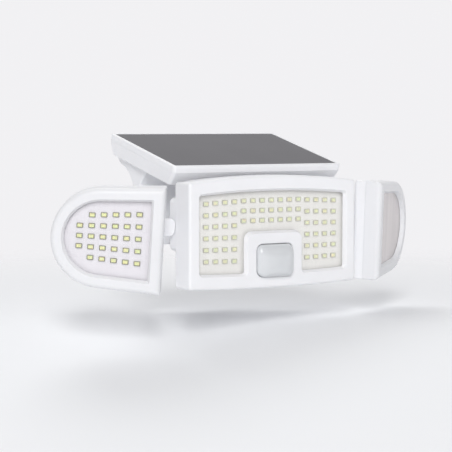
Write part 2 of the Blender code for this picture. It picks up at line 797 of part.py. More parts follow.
def make_button(axis):
    back = BACK_Y - HEAD_AXIS.y
    x, z = BUTTON_X, BUTTON_Z - HEAD_AXIS.z
    travel = axis_empty("button_axis", (x, back, z), axis)
    button = rod("mode_button", BUTTON_RADIUS, (0, -0.0035, 0), (0, 0.0015, 0), "Y", 24)
    button.parent = travel
    join(button, rod("button_flange", 0.0056, (0, -0.0044, 0), (0, -0.0026, 0), "Y", 24))
    finish(button, RUBBER, travel)
    stop = -0.0044 - BUTTON_TRAVEL - GAP
    switch = box("button_switch", (-0.003, stop - 0.0034, -0.003), (0.003, stop, 0.003))
    switch.location += Vector((x, back, z))
    finish(switch, BLACK, axis)
    low = stop - 0.0034 - GAP - 0.0016
    board = box("switch_board", (-0.010, low, -0.007), (0.010, low + 0.0016, 0.007))
    board.location += Vector((x, back, z))
    finish(board, GREEN, axis)


# ---------------------------------------------------------------- wing heads


def wing_y(depth):
    """Y of a depth behind the wing's front plane, about its swing axis."""
    return depth - PIN_DEPTH


def wing_led_centres(side):
    centres = []
    middle = (WING_LED_ROWS - 1) / 2
    for column in range(WING_LED_COLUMNS):
        pitch = WING_LED_SPREAD[0] - WING_LED_SPREAD[1] * column
        for row in range(WING_LED_ROWS):
            last = column == WING_LED_COLUMNS - 1
            if last and row in (0, WING_LED_ROWS - 1):
                continue
            u = WING_LED_U + LED_PITCH * column
            centres.append((side * (u - PIN_U), (middle - row) * pitch + WING_LED_DROP))
    return centres


def make_wing_front(name, side, axis):
    outline = wing_outline(side)
    front = wing_y(0)
    bezel = loft(f"{name}_bezel", outline, rounded(0.0, front, wing_y(BEZEL_DEPTH), WING_FILLET))
    bezel.parent = axis
    hollow = plate(f"{name}_hollow", outline, WALL, wing_y(LIP), wing_y(BEZEL_DEPTH) + 0.01)
    flare = WING_BORDER - 2 * WINDOW_FLARE
    sections = [(flare, front - LIP), (WING_BORDER, wing_y(LIP) + 0.001)]
    cut(bezel, hollow, loft(f"{name}_window", outline, sections))
    finish(bezel, WHITE, axis)
    lens_low, lens_high = (wing_y(depth) for depth in LENS_DEPTH)
    lens = plate(f"{name}_lens", outline, WING_BORDER - 0.0020, lens_low, lens_high)
    finish(lens, CLEAR, axis)
    low, high = (wing_y(depth) for depth in GASKET_DEPTH)
    gasket = plate(f"{name}_gasket", outline, WING_BORDER - 0.0058, low, high)
    gasket.parent = axis
    cut(gasket, plate(f"{name}_gasket_cut", outline, WING_BORDER - 0.0026, low - 0.01, high + 0.01))
    finish(gasket, RUBBER, axis)
    low, high = (wing_y(depth) for depth in BOARD_DEPTH)
    board = plate(f"{name}_led_board", outline, WING_BORDER - 0.0050, low, high)
    board.parent = axis
    centres = wing_led_centres(side)
    join(board, led_group(f"{name}_leds", centres, wing_y(LED_TOP), (low + high) / 2))
    finish(board, BOARD, axis)


def make_wing_back(name, side, axis):
    outline = wing_outline(side)
    seam, back = wing_y(BEZEL_DEPTH) + GAP, wing_y(WING_DEPTH)
    sections = list(reversed(rounded(0.0, back, seam, WING_FILLET, 3)))
    shell = loft(f"{name}_rear_shell", outline, sections)
    shell.parent = axis
    hollow = plate(f"{name}_shell_hollow", outline, WALL, seam - 0.01, back - WALL)
    block = KNUCKLE_HALF_HEIGHT + LUG_HEIGHT + 0.003
    far = side * (KNUCKLE_RADIUS + 0.004)
    low = (min(far, -side * 0.02), seam - 0.02, -block)
    high = (max(far, -side * 0.02), back + 0.01, block)
    hinge_block = box(f"{name}_hinge_block", low, high)
    hinge_block.parent = axis
    combine(hollow, hinge_block, "DIFFERENCE")
    cut(shell, hollow)
    lug_start = KNUCKLE_HALF_HEIGHT + 0.0004
    for up, which in ((1, "upper"), (-1, "lower")):
        ends = sorted((up * lug_start, up * (lug_start + LUG_HEIGHT)))
        ear = box(
            f"{name}_{which}_ear",
            (-KNUCKLE_RADIUS, back - WALL / 2, ends[0]),
            (KNUCKLE_RADIUS, 0.0, ends[1]),
        )
        end = rod(f"{name}_{which}_end", KNUCKLE_RADIUS, (0, 0, ends[0]), (0, 0, ends[1]), "Z", 20)
        join(shell, ear, end)
    room = KNUCKLE_HALF_HEIGHT + 0.0004
    notch = rod(f"{name}_notch", KNUCKLE_RADIUS + 0.0005, (0, 0, -room), (0, 0, room), "Z", 24)
    cut(shell, notch)
    reach = sorted((-side * 0.010, 0.0))
    corner = box(
        f"{name}_corner",
        (reach[0], -KNUCKLE_RADIUS - 0.0005, -room),
        (reach[1], KNUCKLE_RADIUS, room),
    )
    cut(shell, corner)
    tall = room + LUG_HEIGHT + 0.01
    cut(shell, rod(f"{name}_pin_hole", PIN_RADIUS * 0.8 + GAP, (0, 0, -tall), (0, 0, tall), "Z", 16))
    places = [(0.0160, 0.0330), (0.0160, -0.0330), (0.0620, 0.0250), (0.0620, -0.0250)]
    at = [(side * (u - PIN_U), v + WING_DROP) for u, v in places]
    for k, (x, z) in enumerate(at):
        drill = rod(f"{name}_hole_{k}", 0.0017, (x, back - 0.01, z), (x, back + 0.01, z), "Y", 10)
        cut(shell, drill)
    finish(shell, WHITE, axis)
    pin_reach = room + LUG_HEIGHT
    pin = rod(f"{name}_swing_pin", PIN_RADIUS * 0.8, (0, 0, -pin_reach), (0, 0, pin_reach), "Z", 16)
    finish(pin, STEEL, axis)


def make_knuckle(name, side, axis):
    """Block that turns on a shaft in the head's side and holds the wing's upright pin."""
    start = side * (KNUCKLE_START - AXIS_X)
    across = sorted((start, 0.0))
    half = KNUCKLE_HALF_HEIGHT
    knuckle = box(
        f"{name}_knuckle",
        (across[0], -KNUCKLE_RADIUS, -half),
        (across[1], KNUCKLE_RADIUS, half),
    )
    knuckle.parent = axis
    join(knuckle, rod(f"{name}_barrel", KNUCKLE_RADIUS, (0, 0, -half), (0, 0, half), "Z", 24))
    inner = start - side * 0.0060
    shaft = rod(f"{name}_shaft", SHAFT_RADIUS, (inner, 0, 0), (start + side * 0.001, 0, 0), "X")
    join(knuckle, shaft)
    cut(knuckle, rod(f"{name}_bore", PIN_RADIUS * 0.8 + GAP, (0, 0, -0.02), (0, 0, 0.02), "Z", 16))
    groove = rod(f"{name}_tap", 0.0013, (inner - side * 0.001, 0, 0), (inner + side * 0.005, 0, 0), "X", 10)
    cut(knuckle, groove)
    finish(knuckle, WHITE, axis)
    cap = (inner - side * GAP, 0.0, 0.0)
    bm = bmesh.new()
    unit = Vector((-side, 0, 0))
    rings = []
    cap_radius, cap_height = PIVOT_CAP
    thread_radius, thread_length = PIVOT_SCREW
    steps = [(cap_height, cap_radius), (0.0, cap_radius)]
    steps += [(0.0, thread_radius), (-thread_length, thread_radius)]
    for along, radius in steps:
        centre = Vector(cap) + unit * along
        ring = []
        for k in range(16):
            angle = math.tau * k / 16
            ring.append(bm.verts.new(centre + Vector((0, math.cos(angle), math.sin(angle))) * radius))
        rings.append(ring)
    bridge(bm, rings)
    finish(new_object(f"{name}_pivot_screw", bm), STEEL, axis)


def make_wing(name, setting, head_axis):
    side = setting["side"]
    place = Vector((side * AXIS_X, AXIS_Y, AXIS_Z)) - HEAD_AXIS
    tilt_axis = axis_empty(f"{name}_tilt_axis", place, head_axis)
    tilt_axis.rotation_euler.x = setting["tilt"]
    swing_axis = axis_empty(f"{name}_swing_axis", (0, 0, 0), tilt_axis)
    swing_axis.rotation_euler.z = side * setting["swing"]
    make_knuckle(name, side, tilt_axis)
    make_wing_front(name, side, swing_axis)
    make_wing_back(name, side, swing_axis)


def make_floodlight():
    make_wall_mount()
    make_rear_body()
    make_rear_cover()
    make_electronics()
    make_panel()
    make_tilt_pin()
    head_axis = axis_empty("head_tilt_axis", HEAD_AXIS)
    make_head_front(head_axis)
    make_sensor(head_axis)
    make_head_back(head_axis)
    make_yoke(head_axis)
    make_button(head_axis)
    for name, setting in WING_SIDES.items():
        make_wing(name, setting, head_axis)
    bpy.context.view_layer.update()


make_floodlight()
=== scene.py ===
"""Looks of the three-head solar floodlight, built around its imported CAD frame."""

import json
import math

import bmesh
import bpy
from mathutils import Matrix, Vector
from mathutils.geometry import delaunay_2d_cdt


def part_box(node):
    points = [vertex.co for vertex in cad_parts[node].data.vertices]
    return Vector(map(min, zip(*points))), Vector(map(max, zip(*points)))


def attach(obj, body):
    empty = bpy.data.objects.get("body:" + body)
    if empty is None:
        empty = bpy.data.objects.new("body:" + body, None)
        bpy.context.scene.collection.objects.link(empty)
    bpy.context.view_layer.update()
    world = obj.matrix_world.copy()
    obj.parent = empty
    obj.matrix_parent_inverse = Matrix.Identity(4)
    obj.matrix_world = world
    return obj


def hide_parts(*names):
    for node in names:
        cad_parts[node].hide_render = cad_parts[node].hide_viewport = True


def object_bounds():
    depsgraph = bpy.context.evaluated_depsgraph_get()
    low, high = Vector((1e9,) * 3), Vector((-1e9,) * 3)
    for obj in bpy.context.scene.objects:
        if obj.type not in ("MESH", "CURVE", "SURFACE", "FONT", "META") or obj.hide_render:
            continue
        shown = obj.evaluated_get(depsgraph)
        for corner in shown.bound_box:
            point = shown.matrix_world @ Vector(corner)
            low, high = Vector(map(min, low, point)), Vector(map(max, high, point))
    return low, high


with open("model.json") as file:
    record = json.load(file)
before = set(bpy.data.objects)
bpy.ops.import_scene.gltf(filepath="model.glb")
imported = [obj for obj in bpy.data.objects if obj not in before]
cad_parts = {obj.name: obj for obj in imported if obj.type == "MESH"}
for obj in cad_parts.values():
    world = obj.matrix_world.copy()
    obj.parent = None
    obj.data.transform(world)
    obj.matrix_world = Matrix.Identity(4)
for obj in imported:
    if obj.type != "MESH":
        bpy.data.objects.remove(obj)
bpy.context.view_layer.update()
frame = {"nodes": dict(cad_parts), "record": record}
record = frame["record"]
JOINTS = {joint["name"]: joint for joint in record["behaviour"]["joints"]}

# Sizes that the frame doesn't state, in metres
WALL = 0.0022
HEAD_DEPTH = 0.0215
LOW_ARCH = 0.0020
HIGH_ARCH = 0.0044
ARCH_STEPS = 24
WING_DEPTH = 0.0244
WING_RADIUS = 0.0394
WING_BORDER = 0.0104
KNUCKLE_RADIUS = 0.0047
KNUCKLE_HALF = 0.0072
SHAFT_RADIUS = 0.0034
PIN_HOLE = 0.0028
BARREL_RADIUS = 0.0080
SCREW_SINK = 0.0034
LOCK_PLACE = (-0.027, 0.0)
LOCK_HOLE = 0.0022
LOCK_SPAN = (-0.05, 0.05)
ARM_FRONT = -0.0461
ARM_BACK = -0.0342
ARM_HALF = 0.0787
SEAM_GAP = 0.00007
CAD_HALF_GAP = 0.00015
LENS_CLEARANCE = 0.0002
EDGE = 0.0006
OUTER_FILLET = 0.0024
WING_FILLET = 0.0042
WINDOW_SLOPE = 0.0016
LED_PITCH = 0.0092
LED_SIZE = (0.0050, 0.0038)
LED_HEIGHT = 0.0011
BOARD_THICKNESS = 0.0016
LINE_WIDTH = 0.0004
CELL_WIDTH = 0.0406
CELL_HEIGHT = 0.0470
BEYOND = 0.01  # how far a cutter reaches past what it cuts

# Studio: a wall is white where its edge's second value is reached, grey up to the first
BACKGROUND = (0.885, 0.880, 0.898)
BACK_WALL = (0.574, 0.819, 0.0)
BACK_WALL_EDGE = (0.30, 0.85)
LOW_WALL = (0.0, 0.0, -1.0)
LOW_WALL_EDGE = (-0.22, 0.02)
ROOM_STRENGTH = 0.33
LIGHT_TARGET = Vector((0.0, -0.08, 0.0))
KEY_PLACE = (-2.0, -2.88, 2.0)
KEY_SIZE = (1.1, 1.9)
KEY_POWER = 87.0
TOP_PLACE = (0.20, 0.75, 1.6)
TOP_SIZE = (1.2, 0.8)
TOP_POWER = 10.0
FLOOR_LEVEL = -0.0860
FLOOR_RADIUS = 0.90
FLOOR_FRONT = (-0.574, -0.819)
FLOOR_START = -0.02
FLOOR_SLOPE = 0.36
FLOOR_BEND = 0.10
FLOOR_FADE = (0.20, 0.95 * FLOOR_RADIUS)
FLOOR_COLOUR = (0.92, 0.93, 0.945, 1.0)
CAMERA_PLACE = (-0.82298, -1.23213, 0.07421)
CAMERA_AZIMUTH = 35.009
CAMERA_PITCH = 3.386
CAMERA_LENS = 135.4

scene = bpy.context.scene


# ---- node materials


class Nodes:
    """Short calls for building the node tree of a material or the world."""

    def __init__(self, owner, shader="Principled BSDF"):
        self.material = bpy.data.materials.new(owner) if isinstance(owner, str) else owner
        self.material.use_nodes = True
        self.tree = self.material.node_tree
        self.shader = self.tree.nodes[shader]

    def add(self, kind, sockets=(), **settings):
        """A new node with its own settings and the constants of its sockets, by name or number."""
        node = self.tree.nodes.new(kind)
        for key, value in settings.items():
            setattr(node, key, value)
        for key, value in dict(sockets).items():
            node.inputs[key].default_value = value
        return node

    def link(self, output, target):
        self.tree.links.new(output, target)

    def place(self, stretch=(1.0, 1.0, 1.0), turn=0.0):
        """Object coordinates in metres, stretched, and turned about X."""
        where = self.add("ShaderNodeTexCoord")
        mapping = self.add("ShaderNodeMapping", {"Scale": stretch, "Rotation": (turn, 0.0, 0.0)})
        self.link(where.outputs["Object"], mapping.inputs["Vector"])
        return mapping.outputs["Vector"]

    def noise(self, scale, detail=2.0, roughness=0.5, stretch=(1.0, 1.0, 1.0)):
        sockets = {"Scale": scale, "Detail": detail, "Roughness": roughness}
        node = self.add("ShaderNodeTexNoise", sockets)
        self.link(self.place(stretch), node.inputs["Vector"])
        return node.outputs["Fac"]

    def bricks(self, colours, smooth, width, height, turn=0.0):
        """Colour of straight rows of cells: two cell tones and the lines between them."""
        sockets = {"Scale": 1.0, "Mortar Size": LINE_WIDTH, "Mortar Smooth": smooth}
        sockets.update({"Brick Width": width, "Row Height": height})
        for name, colour in zip(("Color1", "Color2", "Mortar"), colours):
            sockets[name] = (*colour, 1.0)
        node = self.add("ShaderNodeTexBrick", sockets, offset=0.0)
        self.link(self.place(turn=turn), node.inputs["Vector"])
        return node.outputs["Color"]

    def ramp(self, value, low, high, first, last):
        """Map a value between low and high to a colour between two."""
        node = self.add("ShaderNodeValToRGB")
        node.color_ramp.elements[0].position = low
        node.color_ramp.elements[1].position = high
        node.color_ramp.elements[0].color = (*first, 1.0)
        node.color_ramp.elements[1].color = (*last, 1.0)
        self.link(value, node.inputs["Fac"])
        return node.outputs["Color"]

    def span(self, value, low, high, start=0.0, stop=1.0, kind="LINEAR"):
        """Map a value between start and stop to a number between low and high."""
        sockets = {"From Min": start, "From Max": stop, "To Min": low, "To Max": high}
        node = self.add("ShaderNodeMapRange", sockets, interpolation_type=kind)
        self.link(value, node.inputs["Value"])
        return node.outputs["Result"]

    def paint(self, value, low, high, first, last):
        """Let the base colour follow a value between two colours."""
        self.link(self.ramp(value, low, high, first, last), self.shader.inputs["Base Color"])

    def rough(self, value, low, high):
        """Let the roughness follow a value between two numbers."""
        self.link(self.span(value, low, high), self.shader.inputs["Roughness"])

    def bump(self, height, distance, strength=1.0):
        node = self.add("ShaderNodeBump", {"Distance": distance, "Strength": strength})
        self.link(height, node.inputs["Height"])
        self.link(node.outputs["Normal"], self.shader.inputs["Normal"])

    def set(self, **values):
        for key, value in values.items():
            self.shader.inputs[key.replace("_", " ")].default_value = value


def tint(colour, factor):
    """A colour made lighter or darker."""
    return tuple(min(1.0, part * factor) for part in colour)


def moulded(name, colour, rough=(0.34, 0.46), grain=0.00004, grain_scale=1900.0):
    """Satin injection-moulded plastic: fine spark-eroded grain and a faint tone drift."""
    made = Nodes(name)
    made.paint(made.noise(18.0, 3.0), 0.25, 0.75, tint(colour, 0.975), tint(colour, 1.015))
    made.rough(made.noise(55.0, 4.0, 0.6), *rough)
    made.bump(made.noise(grain_scale, 2.0, 0.6), grain)
    made.set(IOR=1.50)
    return made


def white_plastic(name, colour):
    """Satin housing plastic that lets a little light in."""
    made = moulded(name, colour)
    made.set(Subsurface_Weight=0.06, Subsurface_Scale=0.002, Subsurface_Radius=(1.0, 0.9, 0.8))
    return made.material


def led_board_paint(name, colour):
    """White solder mask: faint copper tracks under it and a speckle of resin."""
    made = Nodes(name)
    tones = (colour, tint(colour, 0.985), tint(colour, 0.955))
    tracks = made.bricks(tones, 0.6, LED_PITCH, LED_PITCH, math.radians(90))
    made.link(tracks, made.shader.inputs["Base Color"])
    speckle = made.noise(900.0, 3.0)
    made.rough(speckle, 0.42, 0.60)
    made.bump(speckle, 0.00003)
    return made.material


def led_package_painted_shade(name, colour):
    """Moulded reflector body of an LED, its colour darkened to paint the shade inside the LED's cup."""
    return moulded(name, colour, (0.35, 0.5), 0.00001).material


def led_phosphor(name, colour):
    """Silicone filled with yellow phosphor: cloudy, a little brighter in places."""
    made = Nodes(name)
    cloud = made.noise(700.0, 3.0, 0.65)
    made.paint(cloud, 0.3, 0.72, tint(colour, 0.86), tint(colour, 1.12))
    made.rough(cloud, 0.22, 0.38)
    made.bump(cloud, 0.00002)
    made.set(Subsurface_Weight=0.2, Subsurface_Scale=0.0006)
    return made.material


def clear_cover(name, colour):
    """Clear polycarbonate window: see-through from the front, milky at a grazing angle, where its
    pinkish grey is a painted reflection of the room and its vertical streaks paint the blurred LED
    columns.
    """
    made = Nodes(name)
    # Painted reflection: stretched streaks in the colour stand for the blurred LED columns seen at a
    # grazing angle.
    painted_reflection_streaks = made.noise(70.0, 3.0, 0.6, (1.0, 1.0, 0.05))
    graze = made.add("ShaderNodeLayerWeight")
    milk = made.span(graze.outputs["Facing"], 0.04, 0.80, 0.50, 0.68, "SMOOTHSTEP")
    made.link(milk, made.shader.inputs["Alpha"])
    made.paint(painted_reflection_streaks, 0.35, 0.65, tint(colour, 0.88), colour)
    made.rough(made.noise(40.0, 4.0, 0.6), 0.08, 0.16)
    made.bump(painted_reflection_streaks, 0.00003)
    made.set(IOR=1.58)
    return made.material


def sensor_plastic():
    """Translucent polyethylene of the sensor's lens, with its faint moulded lens rings."""
    made = Nodes("sensor_lens_plastic")
    cloud = made.noise(60.0, 3.0)
    made.paint(cloud, 0.3, 0.7, (0.665, 0.685, 0.705), (0.705, 0.722, 0.740))
    made.rough(cloud, 0.16, 0.26)
    sockets = {"Scale": 165.0, "Smoothness": 0.6}
    facets = made.add("ShaderNodeTexVoronoi", sockets, feature="SMOOTH_F1")
    made.link(made.place(), facets.inputs["Vector"])
    made.bump(facets.outputs["Distance"], 0.00003, 0.4)
    made.set(IOR=1.52, Coat_Weight=0.5, Coat_Roughness=0.06)
    return made.material


def solar_face():
    """Dark laminate: faint cell strips with hair-thin fingers under a smooth film."""
    made = Nodes("solar_laminate")
    tones = ((0.0195, 0.0172, 0.0250), (0.0208, 0.0185, 0.0262), (0.0155, 0.0140, 0.0192))
    cells = made.bricks(tones, 0.5, CELL_WIDTH, CELL_HEIGHT)
    fingers = made.add("ShaderNodeTexWave", {"Scale": 130.0}, wave_type="BANDS", bands_direction="X")
    made.link(made.place(), fingers.inputs["Vector"])
    lines = made.ramp(fingers.outputs["Fac"], 0.90, 1.0, (1.0, 1.0, 1.0), (1.35, 1.32, 1.30))
    mix = made.add("ShaderNodeMix", {"Factor": 1.0}, data_type="RGBA", blend_type="MULTIPLY")
    made.link(cells, mix.inputs["A"])
    made.link(lines, mix.inputs["B"])
    made.link(mix.outputs["Result"], made.shader.inputs["Base Color"])
    made.rough(made.noise(14.0, 2.0, 0.5), 0.26, 0.32)
    made.set(IOR=1.50, Specular_IOR_Level=0.30)
    return made.material


def brushed_steel():
    """Zinc-plated steel with fine marks along its length."""
    made = Nodes("zinc_plated_steel")
    strokes = made.noise(900.0, 2.0, 0.5, (1.0, 1.0, 0.06))
    made.paint(strokes, 0.3, 0.7, (0.50, 0.505, 0.515), (0.66, 0.665, 0.67))
    made.rough(strokes, 0.24, 0.42)
    made.bump(strokes, 0.00002)
    made.set(Metallic=1.0)
    return made.material


def soft_rubber():
    """Dull grey rubber."""
    return moulded("grey_rubber", (0.24, 0.24, 0.25), (0.72, 0.88), 0.00006, 1400.0).material


def plain_parts():
    """Finishes of the pieces inside: boards, sleeve and black mouldings."""
    green = moulded("green_solder_mask", (0.03, 0.17, 0.08), (0.3, 0.45), 0.00003, 700.0)
    black = moulded("black_moulding", (0.030, 0.030, 0.032), (0.45, 0.6))
    sleeve = moulded("blue_sleeve", (0.06, 0.17, 0.42), (0.2, 0.32), 0.00003, 300.0)
    return {
        "circuit_board": green.material,
        "black_plastic": black.material,
        "battery_sleeve": sleeve.material,
    }


WHITE = white_plastic("white_satin_plastic", (0.900, 0.904, 0.923))
# Painted shade: the wings' copy of the housing white is made darker to offset the stronger light that
# falls on the wings.
SHADED_WING_WHITE = white_plastic("wing_satin_plastic", (0.825, 0.830, 0.848))
STEEL = brushed_steel()
RUBBER = soft_rubber()
# Painted shade: both LED body colours are olive greys darker than a white LED body, standing in for the
# shade in each LED's cup; the wings' copy is much darker, more painted shade.
PACKAGE = led_package_painted_shade("main_led_body", (0.62, 0.62, 0.54))
WING_PACKAGE = led_package_painted_shade("wing_led_body", (0.30, 0.305, 0.24))
PHOSPHOR = led_phosphor("main_phosphor", (0.87, 0.89, 0.60))
WING_PHOSPHOR = led_phosphor("wing_phosphor", (0.88, 0.90, 0.47))
MAIN_BOARD = led_board_paint("main_board_mask", (0.915, 0.915, 0.885))
# Painted shade: the wing board is a darker copy of the main board's white solder mask, made darker to
# offset the stronger light on the wings.
SHADED_WING_BOARD = led_board_paint("wing_board_mask", (0.850, 0.838, 0.880))
SOLAR = solar_face()


# ---- mesh helpers


def new_mesh(name, bm):
    """A mesh made from a bmesh, which is freed."""
    mesh = bpy.data.meshes.new(name)
    bm.to_mesh(mesh)
    bm.free()
    return mesh


def new_object(name, data):
    """An object in the scene."""
    made = bpy.data.objects.new(name, data)
    scene.collection.objects.link(made)
    return made


def finish_piece(name, bm, materials, body, replaced=(), matrix=None, angle=32):
    """Turn a bmesh into a smooth-shaded piece that rides on a body."""
    mesh = new_mesh(name, bm)
    for item in materials if isinstance(materials, (list, tuple)) else [materials]:
        mesh.materials.append(item)
    if matrix is not None:
        mesh.transform(matrix)
    mesh.shade_smooth()
    mesh.set_sharp_from_angle(angle=math.radians(angle))
    piece = new_object(name, mesh)
    weigh = piece.modifiers.new("even_normals", "WEIGHTED_NORMAL")
    weigh.keep_sharp = True
    weigh.weight = 100
    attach(piece, body)
    if replaced:
        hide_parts(*replaced)
    return piece


def housing(name, bm, body, node, matrix=None, paint=WHITE):
    """A white plastic piece in place of one CAD node."""
    finish_piece(name, bm, paint, body, [node], matrix)


def loop(bm, points):
    """New vertices at some points, in their order."""
    return [bm.verts.new(point) for point in points]


def strip(bm, first, second):
    """Quads between two loops of equal length."""
    for k, vert in enumerate(first):
        after = (k + 1) % len(first)
        bm.faces.new((vert, first[after], second[after], second[k]))


def skin(bm, loops):
    """Quads between each loop and the next."""
    for first, second in zip(loops, loops[1:]):
        strip(bm, first, second)


def is_inside(point, polygon):
    """Whether a point lies in a polygon, by counting the edges to its right."""
    crossings = 0
    for (x0, y0), (x1, y1) in zip(polygon, polygon[1:] + polygon[:1]):
        if (y0 > point[1]) != (y1 > point[1]):
            crossings += x0 + (point[1] - y0) / (y1 - y0) * (x1 - x0) > point[0]
    return crossings % 2 == 1


def fill(bm, *loops, axes=(0, 2)):
    """A flat face inside the first loop and outside the others, seen along one axis."""
    verts = [vert for verts in loops for vert in verts]
    points = [Vector((vert.co[axes[0]], vert.co[axes[1]])) for vert in verts]
    edges = []
    first = 0
    for ring in loops:
        count = len(ring)
        edges += [(first + k, first + (k + 1) % count) for k in range(count)]
        first += count
    inside_only = 1
    found = delaunay_2d_cdt(points, edges, [], inside_only, 1e-9)
    if any(not sources for sources in found[3]):
        raise ValueError("an outline crosses itself")
    holes = [[(vert.co[axes[0]], vert.co[axes[1]]) for vert in ring] for ring in loops[1:]]
    for corner_ids in found[2]:
        middle = sum((found[0][k] for k in corner_ids), Vector((0.0, 0.0))) / len(corner_ids)
        if not any(is_inside(middle, hole) for hole in holes):
            bm.faces.new([verts[found[3][k][0]] for k in corner_ids])


def sew(bm):
    """The mesh with all its faces turned outwards."""
    bmesh.ops.recalc_face_normals(bm, faces=bm.faces)
    return bm


def flat(points, y):
    """Outline points (x, z) put at one depth."""
    return [(x, y, z) for x, z in points]


def quarter(radius, steps):
    """(inset, depth) pairs of a round edge, from the side round to the front."""
    found = []
    for k in range(steps + 1):
        angle = math.pi / 2 * k / steps
        found.append((radius * (1 - math.cos(angle)), radius * (1 - math.sin(angle))))
    return found


def offset(points, distance):
    """Move a closed outline inwards by a distance, along the mean of its edges' normals."""
    moved = []
    count = len(points)
    area = sum(
        points[k - 1][0] * points[k][1] - points[k][0] * points[k - 1][1] for k in range(count)
    )
    inward = distance if area > 0 else -distance
    for k, point in enumerate(points):
        here = Vector(point)
        before = (here - Vector(points[k - 1])).normalized()
        after = (Vector(points[(k + 1) % count]) - here).normalized()
        normals = [Vector((-edge.y, edge.x)) for edge in (before, after)]
        mean = (normals[0] + normals[1]).normalized()
        moved.append(tuple(here + mean * inward / max(mean.dot(normals[0]), 0.3)))
    return moved


def arc(centre, radius, start, stop, steps):
    """Points of an arc between two angles in degrees, both ends included."""
    points = []
    for k in range(steps + 1):
        angle = math.radians(start + (stop - start) * k / steps)
        points.append(
            (centre[0] + radius * math.cos(angle), centre[1] + radius * math.sin(angle))
        )
    return points


def corners(x0, x1, z0, z1, radius, steps=6):
    """A rectangle with round corners, anticlockwise from its lower right corner."""
    points = arc((x1 - radius, z0 + radius), radius, -90, 0, steps)
    points += arc((x1 - radius, z1 - radius), radius, 0, 90, steps)
    points += arc((x0 + radius, z1 - radius), radius, 90, 180, steps)
    points += arc((x0 + radius, z0 + radius), radius, 180, 270, steps)
    return points


def centred(x, y, radius, steps=6):
    """A rectangle with round corners about the origin, from its half sizes."""
    return corners(-x, x, -y, y, radius, steps)


def circle(centre, radius, steps=28):
    """Points of a full circle."""
    return arc(centre, radius, 0, 360 - 360 / steps, steps - 1)


def cube_between(bm, low, high):
    """A box between two corners, given back as its vertices."""
    low, high = Vector(low), Vector(high)
    size = Matrix.Diagonal((*(high - low), 1.0))
    move = Matrix.Translation((low + high) / 2)
    return bmesh.ops.create_cube(bm, size=1.0, matrix=move @ size)["verts"]


def boolean(piece, other, operation):
    """Let a piece be changed by another shape."""
    modifier = piece.modifiers.new(other.name, "BOOLEAN")
    modifier.operation = operation
    modifier.object = other
    modifier.solver = "EXACT"


# For each axis: the two coordinates across it and the one along it, and the turn from Z to it
AXES = {"X": (1, 2, 0), "Y": (0, 2, 1), "Z": (0, 1, 2)}
TURNS = {
    "X": Matrix.Rotation(math.pi / 2, 4, "Y"),
    "Y": Matrix.Rotation(-math.pi / 2, 4, "X"),
    "Z": Matrix(),
}


def rod(radius, start, end, axis="Z", sides=40):
    """A cylinder between two points that lie along one axis."""
    bm = bmesh.new()
    start, end = Vector(start), Vector(end)
    matrix = Matrix.Translation((start + end) / 2) @ TURNS[axis]
    length = (end - start).length
    bmesh.ops.create_cone(
        bm, cap_ends=True, segments=sides, radius1=radius, radius2=radius, depth=length, matrix=matrix
    )
    return bm


def block(low, high):
    """A box between two corners, as a mesh of its own."""
    bm = bmesh.new()
    cube_between(bm, low, high)
    return bm


def carve(bm, steps):
    """Apply unions and cuts to a mesh and give back the result. The helper shapes are removed."""
    base = new_object("carved", new_mesh("carved", bm))
    helpers = []
    for operation, shape in steps:
        name = f"helper_{len(helpers)}"
        helper = new_object(name, new_mesh(name, shape))
        helpers.append(helper)
        boolean(base, helper, operation)
    bpy.context.view_layer.update()
    evaluated = base.evaluated_get(bpy.context.evaluated_depsgraph_get())
    result = bmesh.new()
    result.from_mesh(evaluated.to_mesh())
    evaluated.to_mesh_clear()
    for item in [base, *helpers]:
        bpy.data.objects.remove(item)
    bmesh.ops.remove_doubles(result, verts=result.verts, dist=0.000002)
    return result


def spot(axis, a, b, along):
    """A point from its two coordinates across an axis and its place along it."""
    point = [0.0, 0.0, 0.0]
    for index, value in zip(AXES[axis], (a, b, along)):
        point[index] = value
    return point


def closed(sections, axis="Y"):
    """A solid skin over outline sections (outline, place along the axis), capped at both ends."""
    bm = bmesh.new()
    loops = [loop(bm, [spot(axis, a, b, place) for a, b in outline]) for outline, place in sections]
    skin(bm, loops)
    for end in (loops[0], loops[-1]):
        fill(bm, end, axes=AXES[axis][:2])
    return sew(bm)


def prism(outline, low, high, axis="Y", low_fillet=0.0, high_fillet=0.0, steps=5):
    """A prism along an axis whose end edges may be round."""
    sections = [(outline, low), (outline, high)]
    if low_fillet:
        sections[:1] = [
            (offset(outline, inset), low + depth)
            for inset, depth in quarter(low_fillet, steps)[::-1]
        ]
    if high_fillet:
        sections[-1:] = [
            (offset(outline, inset), high - depth) for inset, depth in quarter(high_fillet, steps)
        ]
    return closed(sections, axis)


def rounded_outline(points, radius, steps=5):
    """Replace each corner of a polygon by a smooth curve that starts a radius away from it."""
    found = []
    count = len(points)
    for k, point in enumerate(points):
        here = Vector(point)
        ends = []
        for other in (points[k - 1], points[(k + 1) % count]):
            edge = Vector(other) - here
            ends.append(here + edge.normalized() * min(radius, 0.45 * edge.length))
        for step in range(steps + 1):
            t = step / steps
            found.append(
                tuple(ends[0] * (1 - t) ** 2 + here * 2 * t * (1 - t) + ends[1] * t**2)
            )
    return found


# ---- outlines of the heads


def extent(node, matrix=None):
    """Lowest and highest corners of a CAD node, in a frame of its own if one is given."""
    inverse = (matrix or Matrix()).inverted()
    mesh = frame["nodes"][node].data
    points = [inverse @ vertex.co for vertex in mesh.vertices]
    low = [min(point[k] for point in points) for k in range(3)]
    high = [max(point[k] for point in points) for k in range(3)]
    return Vector(low), Vector(high)


def joint_place(name):
    """Where a joint's axis lies."""
    return Vector(JOINTS[name]["pos_m"])


